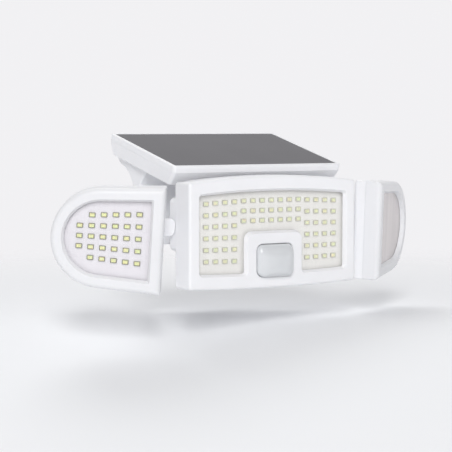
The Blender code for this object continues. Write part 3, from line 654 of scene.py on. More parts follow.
def edge_points(start, stop, steps, height):
    """Points between two places on an edge with a height of its own, the ends left out."""
    places = [start + (stop - start) * k / steps for k in range(1, steps)]
    return [(x, height(x)) for x in places]


def arched_sides(reach, low, high, corner, arch, steps):
    """Round corners, sides and bulging top of an outline, from its lower right corner on."""
    points = arc((reach, low + corner), corner, -90, 0, steps)
    points += arc((reach, high - corner), corner, 0, 90, steps)
    points += edge_points(reach, -reach, ARCH_STEPS, lambda x: high + arch * (1 - (x / reach) ** 2))
    points += arc((-reach, high - corner), corner, 90, 180, steps)
    points += arc((-reach, low + corner), corner, 180, 270, steps)
    return points


def arched_box(half_width, low, high, low_arch, high_arch, corner):
    """Outline with round corners whose lower and upper edges bulge, anticlockwise."""
    reach = half_width - corner
    points = arched_sides(reach, low, high, corner, high_arch, 6)
    points += edge_points(-reach, reach, ARCH_STEPS, lambda x: low - low_arch * (1 - (x / reach) ** 2))
    return points


class WingShape:
    """A wing in the frame of its swing axis, with its sizes read from the CAD nodes."""

    def __init__(self, name):
        self.name = name
        self.side = -1 if name == "left" else 1
        joint = JOINTS[f"{name}_swing"]
        tilt = math.atan2(abs(joint["axis"][1]), abs(joint["axis"][2]))
        swing = math.radians(-joint["range_deg"][0])
        turn = Matrix.Rotation(tilt, 4, "X")
        self.knuckle_matrix = Matrix.Translation(joint_place(f"{name}_swing")) @ turn
        self.matrix = self.knuckle_matrix @ Matrix.Rotation(self.side * swing, 4, "Z")
        low, high = extent(f"{name}_bezel", self.matrix)
        self.front = low.y
        self.back = low.y + WING_DEPTH
        self.seam = high.y + CAD_HALF_GAP
        span = sorted((self.side * low.x, self.side * high.x))
        self.start = span[0]
        self.length = span[1] - span[0]
        self.middle = (low.z + high.z) / 2
        half = (high.z - low.z) / 2
        reach = self.length - WING_RADIUS
        self.taper = math.acos(WING_RADIUS / math.hypot(half, reach)) - math.atan2(reach, half)

    def outline(self, inset=0.0, corner=0.0012, steps=48):
        """Round end, tapering sides and a straight inner edge, anticlockwise seen from +U."""
        radius = WING_RADIUS - inset
        centre = self.length - WING_RADIUS
        swept = 90 - math.degrees(self.taper)
        points = arc((centre, 0.0), radius, -swept, swept, steps)
        height = radius / math.cos(self.taper) + (centre - inset) * math.tan(self.taper)
        points += arc((inset + corner, height - corner), corner, 90, 180, 4)
        points += arc((inset + corner, -height + corner), corner, 180, 270, 4)
        placed = [(self.side * (self.start + u), self.middle + v) for u, v in points]
        return placed[:: self.side]


# ---- bezels


def head_sizes():
    """Places of the main head's faces and edges, read from its CAD nodes."""
    low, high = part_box("main_bezel")
    lens_low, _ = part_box("main_lens")
    return {
        "front": low[1],
        "seam": high[1] + CAD_HALF_GAP,
        "lip": lens_low[1] - LENS_CLEARANCE,
        "half_width": (high[0] - low[0]) / 2,
        "low": low[2] + LOW_ARCH,
        "high": high[2] - HIGH_ARCH,
        "led_middle": (low[2] + high[2]) / 2 - 0.0002,
    }


def head_outline(sizes):
    """Outline of the main head, to the crests of its arches."""
    return arched_box(sizes["half_width"], sizes["low"], sizes["high"], LOW_ARCH, HIGH_ARCH, 0.0027)


def window_outline(sizes):
    """Window of the main head, with the sensor's surround standing up into its lower edge."""
    corner, low_arch, high_arch = 0.0020, 0.0015, 0.0030
    reach = sizes["half_width"] - 0.0110 - corner
    low, high = sizes["low"] + 0.0117, sizes["high"] - 0.0111
    tab_half, tab_top, tab_corner, tab_foot = 0.0290, sizes["low"] + 0.0444, 0.0075, 0.0022
    stop, shoulder = tab_half + tab_foot, tab_half - tab_corner
    side_steps = 8

    def floor_at(x):
        return low - low_arch * (1 - (x / reach) ** 2)

    foot = floor_at(stop) + tab_foot
    points = arched_sides(reach, low, high, corner, high_arch, 5)
    points += edge_points(-reach, -stop, side_steps, floor_at)
    points += arc((-stop, foot), tab_foot, 270, 360, 5)
    points += arc((-shoulder, tab_top - tab_corner), tab_corner, 180, 90, 8)
    points += arc((shoulder, tab_top - tab_corner), tab_corner, 90, 0, 8)
    points += arc((stop, foot), tab_foot, 180, 270, 5)
    points += edge_points(stop, reach, side_steps, floor_at)
    return points


def sensor_opening(grow=0.0):
    """Opening for the sensor's lens, a hair larger than the lens, or grown by more."""
    low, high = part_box("motion_sensor_lens")
    edge = 0.0003 + grow
    return corners(low[0] - edge, high[0] + edge, low[2] - edge, high[2] + edge, 0.0055 + grow, 8)


def bezel(outside, walls, hollow):
    """Skin of a bezel from sections (outline, depth) of its outside, openings and hollow."""
    bm = bmesh.new()
    parts = [[loop(bm, flat(*section)) for section in part] for part in (outside, *walls, hollow)]
    for loops in parts:
        skin(bm, loops)
    outside, *walls, hollow = parts
    fill(bm, outside[-1], *[wall[0] for wall in walls])
    fill(bm, hollow[0], *[wall[-1] for wall in walls])
    strip(bm, hollow[-1], outside[0])
    return sew(bm)


def make_main_bezel(sizes):
    """Front moulding of the main head, with the window and the sensor's opening."""
    outer, front, lip = head_outline(sizes), sizes["front"], sizes["lip"]
    inner, seam = offset(outer, WALL), sizes["seam"] - SEAM_GAP / 2

    def wall(outline, slope, edge):
        rim = quarter(edge, 4)[::-1]
        sections = [(offset(outline, -slope - inset), front + depth) for inset, depth in rim]
        return [*sections, (outline, lip)]

    outside = [(outer, seam), (outer, front + OUTER_FILLET + 0.002)]
    outside += [(offset(outer, inset), front + depth) for inset, depth in quarter(OUTER_FILLET, 8)]
    walls = [wall(window_outline(sizes), WINDOW_SLOPE, EDGE), wall(sensor_opening(), 0.0004, 0.0009)]
    bm = bezel(outside, walls, [(inner, lip), (inner, seam)])
    housing("main_front_moulding", bm, "main_head", "main_bezel")


def make_wing_bezel(wing):
    """Front moulding of a wing, with its D-shaped window."""
    outer, inner = wing.outline(), wing.outline(WALL, 0.0008)
    front, seam = wing.front, wing.seam - SEAM_GAP / 2
    lip = extent(f"{wing.name}_lens", wing.matrix)[0].y - LENS_CLEARANCE
    outside = [(outer, seam), (outer, front + WING_FILLET + 0.001)]
    for inset, depth in quarter(WING_FILLET, 10):
        outside.append((wing.outline(inset, 0.0012 + 0.3 * inset), front + depth))
    rim = []
    for inset, depth in quarter(EDGE, 4)[::-1]:
        rim.append((wing.outline(WING_BORDER - WINDOW_SLOPE - inset), front + depth))
    rim.append((wing.outline(WING_BORDER, 0.0010), lip))
    bm = bezel(outside, [rim], [(inner, lip), (inner, seam)])
    name, body = f"{wing.name}_front_moulding", f"{wing.name}_wing"
    housing(name, bm, body, f"{wing.name}_bezel", wing.matrix, SHADED_WING_WHITE)


# ---- LEDs and boards


def led_mesh(bm, x, z, low):
    """One LED: solder pads, reflector body with a lipped rim, and the phosphor sunk in it."""
    half_x, half_z = LED_SIZE[0] / 2, LED_SIZE[1] / 2
    top = low - LED_HEIGHT
    steps = [(0.0, low), (0.0, top + 0.00015), (0.00015, top), (0.00045, top), (0.00065, top + 0.00030)]
    loops = []
    for inset, y in steps:
        right, up = half_x - inset, half_z - inset
        outline = corners(x - right, x + right, z - up, z + up, 0.0002, 1)
        loops.append(loop(bm, flat(outline, y)))
    skin(bm, loops)
    bm.faces.new(loops[0][::-1])
    phosphor = bm.faces.new(loops[-1])
    phosphor.material_index = 1
    right, up = half_x + 0.0003, half_z - 0.0004
    pads = cube_between(bm, (x - right, low - 0.00012, z - up), (x + right, low, z + up))
    for face in {face for vert in pads for face in vert.link_faces}:
        face.material_index = 2


def make_leds(name, centres, low, body, package, phosphor, matrix=None):
    """All LEDs of one board, in one piece."""
    bm = bmesh.new()
    for x, z in centres:
        led_mesh(bm, x, z, low)
    paints = [package, phosphor, STEEL]
    finish_piece(name, sew(bm), paints, body, matrix=matrix, angle=20)


def make_board(name, outline, span, paint, body, node, matrix=None, hole=None):
    """Flat board between two depths, with an optional hole."""
    bm = bmesh.new()
    sides = [loop(bm, flat(outline, y)) for y in span]
    skin(bm, sides)
    ends = [[side] for side in sides]
    if hole:
        inner = [loop(bm, flat(hole, y)) for y in span]
        skin(bm, inner)
        ends = [[side, cut] for side, cut in zip(sides, inner)]
    for loops in ends:
        fill(bm, *loops)
    finish_piece(name, sew(bm), paint, body, [node], matrix)


def main_led_centres(sizes):
    """Full columns at both sides, short ones over the sensor. Rows follow the arch."""
    last_column, sensor_column, rows = 7, 3, 6
    short_rows, grid_lift, top_lift, bottom_drop = (0.0257, 0.0176, 0.0095), 0.0010, 0.0017, 0.0008
    middle = sizes["led_middle"]
    centres = []
    for column in range(-last_column, last_column + 1):
        x = column * LED_PITCH
        if abs(column) <= sensor_column:
            centres += [(x, middle + z) for z in short_rows]
            continue
        crown = 1 - (column / last_column) ** 2
        for row in range(rows):
            down = row / (rows - 1)
            lift = top_lift * (1 - down) - bottom_drop * down
            centres.append((x, middle + (LED_PITCH * (2.5 - row) + grid_lift + lift * crown)))
    return centres


def make_main_lamp(sizes):
    """Board of the main head, cut out for the sensor, with its LEDs."""
    body, node = "main_head", "main_led_board"
    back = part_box(node)[1][1]
    front = back - BOARD_THICKNESS
    half, low, high = sizes["half_width"] - 0.0062, sizes["low"] + 0.0067, sizes["high"] - 0.0061
    outline = arched_box(half, low, high, 0.0015, 0.0030, 0.0040)
    hole = sensor_opening(-0.0022)
    make_board("main_lamp_board", outline, (front, back), MAIN_BOARD, body, node, None, hole)
    make_leds("main_lamp_chips", main_led_centres(sizes), front, body, PACKAGE, PHOSPHOR)


def make_wing_lamp(wing):
    """Board of a wing with its LEDs, whose rows draw together toward the round end."""
    name, body, node = f"{wing.name}_lamp", f"{wing.name}_wing", f"{wing.name}_led_board"
    back = extent(node, wing.matrix)[1].y
    front = back - BOARD_THICKNESS
    outline = wing.outline(WING_BORDER - 0.0050, 0.0010)
    make_board(f"{name}_board", outline, (front, back), SHADED_WING_BOARD, body, node, wing.matrix)
    columns, rows, first_column, lift = 6, 5, 0.0194, 0.0009
    row_pitch, pitch_step = 0.00966, 0.000318
    centres = []
    for column in range(columns):
        u = first_column + LED_PITCH * column + wing.start
        pitch = row_pitch - pitch_step * column
        for row in range(rows):
            if column < columns - 1 or 0 < row < rows - 1:
                centres.append((wing.side * u, wing.middle + lift + (2 - row) * pitch))
    make_leds(f"{name}_chips", centres, front, body, WING_PACKAGE, WING_PHOSPHOR, wing.matrix)


# ---- sensor


def make_sensor():
    """Domed lens of the motion sensor: fullest a little below its middle."""
    low, high = (Vector(corner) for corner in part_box("motion_sensor_lens"))
    middle, half = (low + high) / 2, (high - low) / 2
    fit, thickness, inner_size, roundness, drop = 0.00025, 0.0006, 0.92, 0.62, 0.0022
    front, back = low.y, high.y
    collar = front + 0.58 * (back - front)
    reach, rise = half.x + fit, half.z + fit
    outline = centred(reach, rise, 0.0055, 8)
    bm = bmesh.new()

    def section(size, y, lower=0.0):
        return loop(bm, [(middle.x + x * size, y, middle.z + z * size - lower) for x, z in outline])

    def dome(steps, start, height, size=1.0, lower=0.0):
        """Sections from a collar to just short of the tip."""
        found = []
        for k in range(steps):
            angle = math.pi / 2 * k / steps
            lift = math.sin(angle)
            narrow = size * math.cos(angle) ** roundness
            found.append(section(narrow, start - height * lift, lower * lift))
        return found

    outside = [section(1.0, back), *dome(16, collar, collar - front, 1.0, drop)]
    skin(bm, outside)
    tip = bm.verts.new((middle.x, front, middle.z - drop))
    last = outside[-1]
    for k, vert in enumerate(last):
        bm.faces.new((vert, last[(k + 1) % len(last)], tip))
    inside = dome(9, collar + thickness, collar - front - thickness, inner_size)
    base = section(inner_size, back)
    strip(bm, outside[0], base)
    strip(bm, base, inside[0])
    skin(bm, inside)
    bm.faces.new(inside[-1])
    plastic, node = sensor_plastic(), "motion_sensor_lens"
    finish_piece("sensor_dome", sew(bm), plastic, "main_head", [node], None, 60)


# ---- rear shells


def hole_rods(places, radius, low, high, axis="Y", sides=28):
    """Cutters for a set of holes along one axis. Places give the two other coordinates."""
    steps = []
    for a, b in places:
        ends = (spot(axis, a, b, low), spot(axis, a, b, high))
        steps.append(("DIFFERENCE", rod(radius, *ends, axis, sides)))
    return steps


def node_places(name, count):
    """Middles of some numbered nodes, seen along Y."""
    places = []
    for k in range(1, count + 1):
        low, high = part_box(f"{name}_{k}")
        places.append(((low[0] + high[0]) / 2, (low[2] + high[2]) / 2))
    return places


def make_main_back(sizes):
    """Rear moulding of the main head: raised back, button, screw and pivot holes."""
    outer = head_outline(sizes)
    seam, back = sizes["seam"] + SEAM_GAP / 2, sizes["front"] + HEAD_DEPTH
    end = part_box("main_rear_shell")[1][1]
    half, raised_low, raised_high, corner = sizes["half_width"] - 0.0005, -0.0260, 0.0170, 0.0045
    screw_hole, button_hole, pivot_hole = 0.0015, 0.0044, 0.0037
    raised = corners(-half, half, raised_low, raised_high, corner, 8)
    steps = [
        ("UNION", prism(raised, back - 0.0040, end, "Y", 0.0, 0.0036, 7)),
        ("DIFFERENCE", prism(offset(outer, WALL), seam - BEYOND, back - WALL)),
        ("DIFFERENCE", prism(offset(raised, WALL), seam - BEYOND, end - WALL)),
    ]
    screws = node_places("main_shell_screw", 4)
    steps += hole_rods(screws, SCREW_SINK, back - 0.0004, back + BEYOND)
    steps += hole_rods(screws, screw_hole, back - BEYOND, back + BEYOND)
    low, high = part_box("mode_button")
    button = ((low[0] + high[0]) / 2, (low[2] + high[2]) / 2)
    steps += hole_rods([button], button_hole, end - BEYOND, end + BEYOND, "Y", 40)
    pivot = joint_place("left_swing")
    for span in ((-0.090, -0.070), (0.070, 0.090)):
        steps += hole_rods([(pivot.y, pivot.z)], pivot_hole, *span, "X", 32)
    shell = prism(outer, seam, back, "Y", 0.0, 0.0020)
    housing("main_rear_moulding", carve(shell, steps), "main_head", "main_rear_shell")


def make_wing_back(wing):
    """Rear moulding of a wing: a shell with a notch for the knuckle and two ears for the pin."""
    seam, back = wing.seam + SEAM_GAP / 2, wing.back
    sections = [(wing.outline(), seam)]
    for inset, depth in quarter(0.0032, 7):
        sections.append((wing.outline(inset, 0.0012 + 0.6 * inset), back - depth))
    radius, half, ear = KNUCKLE_RADIUS, KNUCKLE_HALF + 0.0004, 0.0050
    hollow = wing.outline(0.0160, 0.0010)
    steps = [("DIFFERENCE", prism(hollow, seam - BEYOND, back - WALL))]
    ear_outline = [(-radius, back - 0.001), (radius, back - 0.001), *arc((0.0, 0.0), radius, 0, 180, 24)]
    for up in (1, -1):
        ends = sorted((up * half, up * (half + ear)))
        steps.append(("UNION", prism(ear_outline, *ends, "Z", 0.0006, 0.0006, 3)))
    steps.append(("DIFFERENCE", rod(radius + 0.0005, (0, 0, -half), (0, 0, half))))
    left, right = sorted((-wing.side * 0.010, 0.0))
    notch = block((left, -radius - 0.0005, -half), (right, radius, half))
    steps.append(("DIFFERENCE", notch))
    steps += hole_rods(wing_screw_places(wing), SCREW_SINK, back - 0.0005, back + BEYOND)
    name, body = f"{wing.name}_rear_moulding", f"{wing.name}_wing"
    housing(name, carve(closed(sections), steps), body, f"{wing.name}_rear_shell", wing.matrix)


def wing_screw_places(wing):
    """Four screws in a wing's back, in its own frame."""
    places = [(0.0160, 0.0330), (0.0160, -0.0330), (0.0620, 0.0250), (0.0620, -0.0250)]
    return [(wing.side * (wing.start + u), wing.middle + v) for u, v in places]


def make_knuckle(wing):
    """Rounded block between the head's side and the wing's pin, with its shaft."""
    side, half, radius = wing.side, KNUCKLE_HALF, KNUCKLE_RADIUS
    face = SIZES["half_width"] + 0.0004 - abs(joint_place(f"{wing.name}_swing").x)
    outline = [(face, -radius), *arc((0.0, 0.0), radius, -90, 90, 24), (face, radius)]
    arm = prism([(side * x, y) for x, y in outline][::side], -half, half, "Z", 0.0011, 0.0011, 4)
    span = sorted((side * face, side * 0.0200))
    rounding = corners(*span, -half, half, 0.0052, 10)
    ends = ((side * (face - 0.0060), 0, 0), (side * (face + 0.001), 0, 0))
    steps = [
        ("INTERSECT", prism(rounding, -2 * radius, 2 * radius)),
        ("UNION", rod(SHAFT_RADIUS, *ends, "X", 32)),
    ]
    node = f"{wing.name}_knuckle"
    housing(f"{wing.name}_joint_block", carve(arm, steps), node, node, wing.knuckle_matrix)


# ---- tray, panel and arm


TRAY = Matrix.Translation((0.0, -0.0579, 0.0548)) @ Matrix.Rotation(math.radians(15), 4, "X")
TRAY_HALF = (0.0845, 0.0505)
PANEL_HALF = (0.0815, 0.0475)
RIM_HEIGHT = 0.0056
TRAY_HEIGHT = 0.0170
TRAY_TAPER = 0.0055
TRAY_SIDE_LEAN = 0.15
TRAY_CORNER = 0.0032
HEAD_AXIS = joint_place("head_tilt")


def tray_outline(inset=0.0, corner=TRAY_CORNER, side_inset=None):
    """The tray from above, drawn in by an inset, which may differ at its sides."""
    x, y = TRAY_HALF[0] - (inset if side_inset is None else side_inset), TRAY_HALF[1] - inset
    return centred(x, y, corner, 8)


def make_tray_rim():
    """White frame round the panel, its top edges round, with the shelf that the panel lies on."""
    shelf_width, shelf_depth = 0.0030, 0.0038
    panel = centred(*PANEL_HALF, 0.0012)
    shelf = centred(*[part - shelf_width for part in PANEL_HALF], 0.0012)
    bm = bmesh.new()

    def ring(outline, z):
        return loop(bm, [(x, y, z) for x, y in outline])

    outside = [ring(tray_outline(), -RIM_HEIGHT)]
    for inset, depth in quarter(0.0012, 5):
        outside.append(ring(tray_outline(inset, TRAY_CORNER - 0.5 * inset), -depth))
    skin(bm, outside)
    inside = [ring(offset(panel, -inset), -depth) for inset, depth in quarter(0.0004, 3)[::-1]]
    inside += [ring(panel, -shelf_depth), ring(shelf, -shelf_depth), ring(shelf, -RIM_HEIGHT)]
    skin(bm, inside)
    fill(bm, outside[0], inside[-1], axes=(0, 1))
    fill(bm, outside[-1], inside[0], axes=(0, 1))
    housing("tray_rim", sew(bm), "mount_body", "panel_frame", TRAY)


def make_solar_panel():
    """Laminate with a ground edge that lies in the tray's rim."""
    outline = centred(*[part - 0.0003 for part in PANEL_HALF], 0.0010, 5)
    bm = prism(outline, -0.0026, -0.0002, "Z", 0.0, 0.0003, 3)
    finish_piece("solar_laminate", bm, SOLAR, "mount_body", ["solar_panel"], TRAY)


def arm_profile():
    """Side view of the arm: a slim leg that flares into the tray."""
    front, back, foot = ARM_FRONT, ARM_BACK, -0.0250
    flare = [(0.0048, 0.0331), (0.0097, 0.0380), (0.0205, 0.0429), (0.0235, 0.0475)]
    points = [(front, foot), (back, foot), (back, 0.0262)]
    points += [(back + along, high) for along, high in flare]
    points += [(back + 0.0215, 0.0540), (front - 0.0100, 0.0440), (front - 0.0100, 0.0371)]
    points.append((front, 0.0263))
    return points


def make_rear_body():
    """Tray's underside and the arm in one moulding, with two ears for the tilt pin."""
    top = -RIM_HEIGHT - SEAM_GAP
    sections = [(tray_outline(), top)]
    slope = TRAY_TAPER / (TRAY_HEIGHT - RIM_HEIGHT)
    for inset, depth in quarter(0.0016, 5):
        z = -TRAY_HEIGHT + depth
        lean = slope * (top - z)
        rounding = inset * 0.6
        outline = tray_outline(lean + rounding, TRAY_CORNER - inset, TRAY_SIDE_LEAN * lean + rounding)
        sections.append((outline, z))
    tray = closed(sections, "Z")
    tray.transform(TRAY)
    profile = rounded_outline(arm_profile(), 0.0030, 5)
    steps = [("UNION", prism(profile, -ARM_HALF, ARM_HALF, "X", 0.0016, 0.0016, 4))]
    opening = corners(-0.0500, 0.0500, -0.0200, 0.0220, 0.0008, 2)
    steps.append(("DIFFERENCE", prism(opening, ARM_BACK - WALL - 0.0004, -0.0250)))
    hinge, radius, inside, sunk = (HEAD_AXIS.y, HEAD_AXIS.z), BARREL_RADIUS, 0.0001, -0.0450
    ear_start, ear_end = 0.0206, 0.0286
    low, high = hinge[1] - radius + inside, hinge[1] + radius - inside
    ear = [(hinge[0], low), (sunk, low), (sunk, high), (hinge[0], high)]
    for side in (-1, 1):
        start, end = sorted((side * ear_start, side * ear_end))
        steps.append(("UNION", prism(ear, start + inside, end - inside, "X")))
        steps.append(("UNION", prism(circle(hinge, radius, 48), start, end, "X", 0.0008, 0.0008, 3)))
    steps += hole_rods([hinge], PIN_HOLE, -0.0600, 0.0600, "X", 32)
    housing("rear_moulding", carve(tray, steps), "mount_body", "rear_body")


def make_arm_cover():
    """Cover in the arm's back with the socket that slides over the wall plate's neck."""
    inner, wall, end = (0.0304, 0.0164), 0.0025, ARM_BACK + 0.0120
    outline = corners(-0.0497, 0.0497, -0.0197, 0.0217, 0.0008, 3)
    plate = prism(outline, ARM_BACK - WALL, ARM_BACK, "Y", 0.0, 0.0005, 3)
    socket = centred(*[part + wall for part in inner], 0.0014, 5)
    hollow = centred(*inner, 0.0006, 3)
    steps = [
        ("UNION", prism(socket, ARM_BACK - WALL / 2, end, "Y", 0.0, 0.0008, 4)),
        ("DIFFERENCE", prism(hollow, ARM_BACK, end + BEYOND)),
    ]
    steps += hole_rods([LOCK_PLACE], LOCK_HOLE, *LOCK_SPAN, "X", 24)
    steps += hole_rods(node_places("cover_screw", 4), 0.0015, -0.05, -0.02)
    housing("cover_moulding", carve(plate, steps), "mount_body", "arm_cover")


def make_wall_plate():
    """Wall plate with its neck, screw holes and the lock screws' cross hole."""
    neck, thickness, neck_end, neck_wall = (0.0300, 0.0160), 0.0040, -0.0339, 0.0030
    plate = prism(centred(0.0440, 0.0240, 0.0050, 8), -thickness, 0.0, "Y", 0.0010, 0.0, 4)
    stem = centred(*neck, 0.0008, 3)
    hollow = centred(*[part - neck_wall for part in neck], 0.0008, 3)
    steps = [
        ("UNION", prism(stem, neck_end, -thickness / 2, "Y", 0.0006, 0.0, 3)),
        ("DIFFERENCE", prism(hollow, neck_end - BEYOND, -thickness - 0.003)),
    ]
    steps += hole_rods(node_places("wall_screw", 4), 0.0024, -BEYOND, BEYOND)
    steps += hole_rods([LOCK_PLACE], LOCK_HOLE, *LOCK_SPAN, "X", 24)
    housing("wall_plate_moulding", carve(plate, steps), "mount_body", "wall_plate")


def make_bracket():
    """Bracket on the head's back whose barrel turns on the tilt pin."""
    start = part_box("head_bracket")[0][1]
    hinge, flange_half, stem_half = (HEAD_AXIS.y, HEAD_AXIS.z), (0.0260, 0.0130), (0.0196, 0.0062)
    x, z = flange_half
    flange = corners(-x, x, hinge[1] - z, hinge[1] + z, 0.0030, 6)
    base = prism(flange, start, start + 0.0030, "Y", 0.0, 0.0008, 4)
    x, z = stem_half
    stem = corners(-x, x, hinge[1] - z, hinge[1] + z, 0.0010, 4)
    barrel = circle(hinge, BARREL_RADIUS, 48)
    steps = [
        ("UNION", prism(stem, start + 0.0015, hinge[0] - 0.0010)),
        ("UNION", prism(barrel, -0.0200, 0.0200, "X", 0.0005, 0.0005, 3)),
    ]
    steps += hole_rods([hinge], PIN_HOLE, -0.0300, 0.0300, "X", 32)
    steps += hole_rods(node_places("bracket_screw", 2), 0.0014, start - BEYOND, start + BEYOND)
    housing("bracket_moulding", carve(base, steps), "main_head", "head_bracket")


def make_button():
    """Soft mode button: dished face, round edge and a flange behind the shell."""
    low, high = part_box("mode_button")
    x, z = (low[0] + high[0]) / 2, (low[2] + high[2]) / 2
    length = high[1] - low[1]
    profile = [
        (0.0056, 0.0),
        (0.0056, 0.0016),
        (0.0053, 0.0018),
        (0.0040, 0.0018),
        (0.0040, length - 0.0006),
        (0.0038, length - 0.0002),
        (0.0034, length),
        (0.0030, length - 0.0001),
        (0.0018, length - 0.0004),
        (0.0007, length - 0.0005),
    ]
    bm = closed([(circle((x, z), radius, 48), low[1] + depth) for radius, depth in profile])
    finish_piece("soft_button", bm, RUBBER, "mode_button", ["mode_button"])


# ---- screws


def screw_bm(head_radius, head_height, shaft_radius, shaft_length):
    """Pan-head screw along +Z, its head's underside at the origin, with a cross recess."""
    profile = [(shaft_radius * 0.55, -shaft_length), (shaft_radius, -shaft_length * 0.86)]
    turns = 7
    pitch = shaft_length * 0.80 / turns
    for k in range(turns):
        base = -shaft_length * 0.84 + k * pitch
        profile += [(shaft_radius * 0.80, base + pitch * 0.15), (shaft_radius, base + pitch * 0.65)]
    profile += [(shaft_radius * 0.85, -0.00005), (head_radius * 0.96, 0.0)]
    profile += [(head_radius, head_height * 0.12), (head_radius, head_height * 0.45)]
    profile += [(head_radius * 0.95, head_height * 0.70), (head_radius * 0.80, head_height * 0.90)]
    profile += [(head_radius * 0.52, head_height)]
    base = closed([(circle((0, 0), radius, 32), z) for radius, z in profile], "Z")
    long, wide = head_radius * 0.52, head_radius * 0.13
    floor, top = head_height * 0.35, head_height + 0.001
    slots = [block((-x, -y, floor), (x, y, top)) for x, y in ((long, wide), (wide, long))]
    return carve(base, [("DIFFERENCE", slot) for slot in slots])


def aim(place, direction, spin):
    """Matrix that turns +Z to a direction and moves the origin to a place."""
    turn = Vector(direction).to_track_quat("Z", "Y").to_matrix().to_4x4()
    return Matrix.Translation(place) @ turn @ Matrix.Rotation(spin, 4, "Z")


def make_screws(wings):
    """Every visible screw. The heads' undersides lie where the CAD screws have theirs."""
    groups = [
        ("wall_screw", 4, "mount_body", (0, -1, 0), (0.0040, 0.0022, 0.0019, 0.0040)),
        ("lock_screw", 2, "mount_body", None, (0.0038, 0.0024, 0.0018, 0.0080)),
        ("cover_screw", 4, "mount_body", (0, 1, 0), (0.0028, 0.0018, 0.0013, 0.0055)),
        ("main_shell_screw", 4, "main_head", (0, 1, 0), (0.0030, 0.0018, 0.0014, 0.0060)),
        ("bracket_screw", 2, "main_head", (0, 1, 0), (0.0026, 0.0016, 0.0012, 0.0080)),
    ]
    spin, spin_step = 0.4, 1.1
    for name, count, body, direction, sizes in groups:
        for k in range(1, count + 1):
            node = f"{name}_{k}"
            low, high = (Vector(corner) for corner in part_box(node))
            middle = (low + high) / 2
            out = Vector(direction or (math.copysign(1, middle.x), 0, 0))
            reach = max(abs((corner - middle).dot(out)) for corner in (low, high))
            place = middle + out * (reach - sizes[1])
            spin += spin_step
            matrix = aim(place, out, spin)
            finish_piece(f"{node}_cross_head", screw_bm(*sizes), STEEL, body, [node], matrix)
    for wing in wings:
        for k, (x, z) in enumerate(wing_screw_places(wing), 1):
            spin += spin_step
            matrix = wing.matrix @ aim((x, wing.back - 0.0003, z), (0, 1, 0), spin)
            bm = screw_bm(0.0030, 0.0017, 0.0014, 0.0055)
            name, body = f"{wing.name}_shell_screw_{k}", f"{wing.name}_wing"
            finish_piece(name, bm, STEEL, body, (), matrix)


# ---- stage


def make_floor():
    """Pale floor, flat under and behind the object, that sweeps down in front and fades out."""
    low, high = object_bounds()
    bm = bmesh.new()
    rings = []
    ring_count = 48
    for k in range(1, ring_count + 1):
        points = []
        for x, y in circle((0.0, 0.0), FLOOR_RADIUS * (k / ring_count) ** 1.6, 96):
            ahead = max(0.0, x * FLOOR_FRONT[0] + y * FLOOR_FRONT[1] - FLOOR_START)
            points.append((x, y, -FLOOR_SLOPE * (math.hypot(ahead, FLOOR_BEND) - FLOOR_BEND)))
        rings.append(loop(bm, points))
    bm.faces.new(rings[0])
    skin(bm, rings)
    mesh = new_mesh("floor", sew(bm))
    mesh.shade_smooth()
    floor = new_object("floor", mesh)
    floor.location = ((low[0] + high[0]) / 2, (low[1] + high[1]) / 2, FLOOR_LEVEL)
    made = Nodes("pale_floor")
    made.set(Base_Color=FLOOR_COLOUR, Roughness=0.9, Specular_IOR_Level=0.0)
    where = made.add("ShaderNodeTexCoord")
    distance = made.add("ShaderNodeVectorMath", operation="LENGTH")
    made.link(where.outputs["Object"], distance.inputs[0])
    fade = made.span(distance.outputs["Value"], 1.0, 0.0, *FLOOR_FADE, "SMOOTHSTEP")
    made.link(fade, made.shader.inputs["Alpha"])
    mesh.materials.append(made.material)


def area_light(name, place, size, power):
    """A rectangular light that shines at the middle of the object."""
    data = bpy.data.lights.new(name, "AREA")
    data.shape = "RECTANGLE"
    data.size, data.size_y = size
    data.energy = power
    light = new_object(name, data)
    light.location = place
    light.rotation_euler = (LIGHT_TARGET - Vector(place)).to_track_quat("-Z", "Y").to_euler()


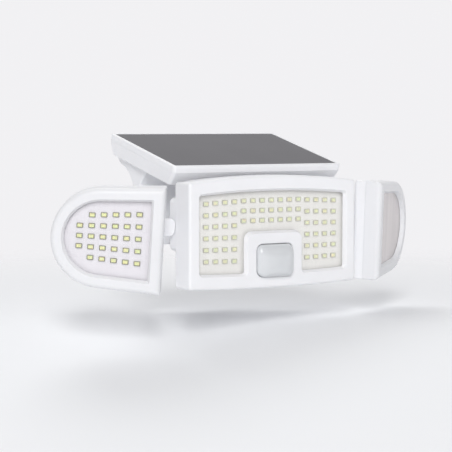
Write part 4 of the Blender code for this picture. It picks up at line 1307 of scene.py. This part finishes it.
def make_world():
    """Studio walls: white behind the object and low down all round, greyer in front and above."""
    world = bpy.data.worlds.new("studio")
    made = Nodes(world, "Background")
    where = made.add("ShaderNodeTexCoord")
    strongest = made.add("ShaderNodeMath", operation="MAXIMUM")
    walls = ((BACK_WALL, BACK_WALL_EDGE), (LOW_WALL, LOW_WALL_EDGE))
    for (side, edge), socket in zip(walls, strongest.inputs):
        toward = made.add("ShaderNodeVectorMath", {1: side}, operation="DOT_PRODUCT")
        made.link(where.outputs["Generated"], toward.inputs[0])
        amount = made.span(toward.outputs["Value"], ROOM_STRENGTH, 1.0, *edge, "SMOOTHSTEP")
        made.link(amount, socket)
    made.set(Color=(*BACKGROUND, 1.0))
    made.link(strongest.outputs["Value"], made.shader.inputs["Strength"])
    scene.world = world


def make_light():
    """Key light high behind the camera, and a weaker one above and behind the object."""
    area_light("key", KEY_PLACE, KEY_SIZE, KEY_POWER)
    area_light("top", TOP_PLACE, TOP_SIZE, TOP_POWER)


def make_camera():
    """Camera in front of the object, a little above it and to its left."""
    data = bpy.data.cameras.new("camera")
    data.sensor_width = 36.0
    data.lens = CAMERA_LENS
    data.clip_end = 50.0
    camera = new_object("camera", data)
    camera.location = CAMERA_PLACE
    azimuth, pitch = math.radians(CAMERA_AZIMUTH), math.radians(CAMERA_PITCH)
    camera.rotation_euler = (math.pi / 2 - pitch, 0.0, -azimuth)
    scene.camera = camera


def paint_cad_nodes():
    """Procedural finishes for the CAD nodes that stay."""
    finishes = plain_parts()
    finishes.update(
        white_housing=WHITE,
        # Painted reflection: the cover's pinkish grey stands in for the room reflected in it at a
        # grazing angle.
        clear_cover=clear_cover("clear_window", (0.84, 0.79, 0.79)),
        rubber_seal=RUBBER,
        steel=STEEL,
        led_board=MAIN_BOARD,
        solar_cell=SOLAR,
        sensor_lens=WHITE,
    )
    for entry in record["subparts"]:
        node = frame["nodes"][entry["node"]]
        for slot in node.material_slots:
            slot.material = finishes[entry["material_slot"]]


scene.view_settings.view_transform = "Standard"
paint_cad_nodes()
SIZES = head_sizes()
WINGS = [WingShape("left"), WingShape("right")]
make_main_bezel(SIZES)
make_main_lamp(SIZES)
make_sensor()
make_main_back(SIZES)
for shape in WINGS:
    make_wing_bezel(shape)
    make_wing_lamp(shape)
    make_wing_back(shape)
    make_knuckle(shape)
make_tray_rim()
make_solar_panel()
make_rear_body()
make_arm_cover()
make_wall_plate()
make_bracket()
make_button()
make_screws(WINGS)
make_floor()
make_world()
make_light()
make_camera()
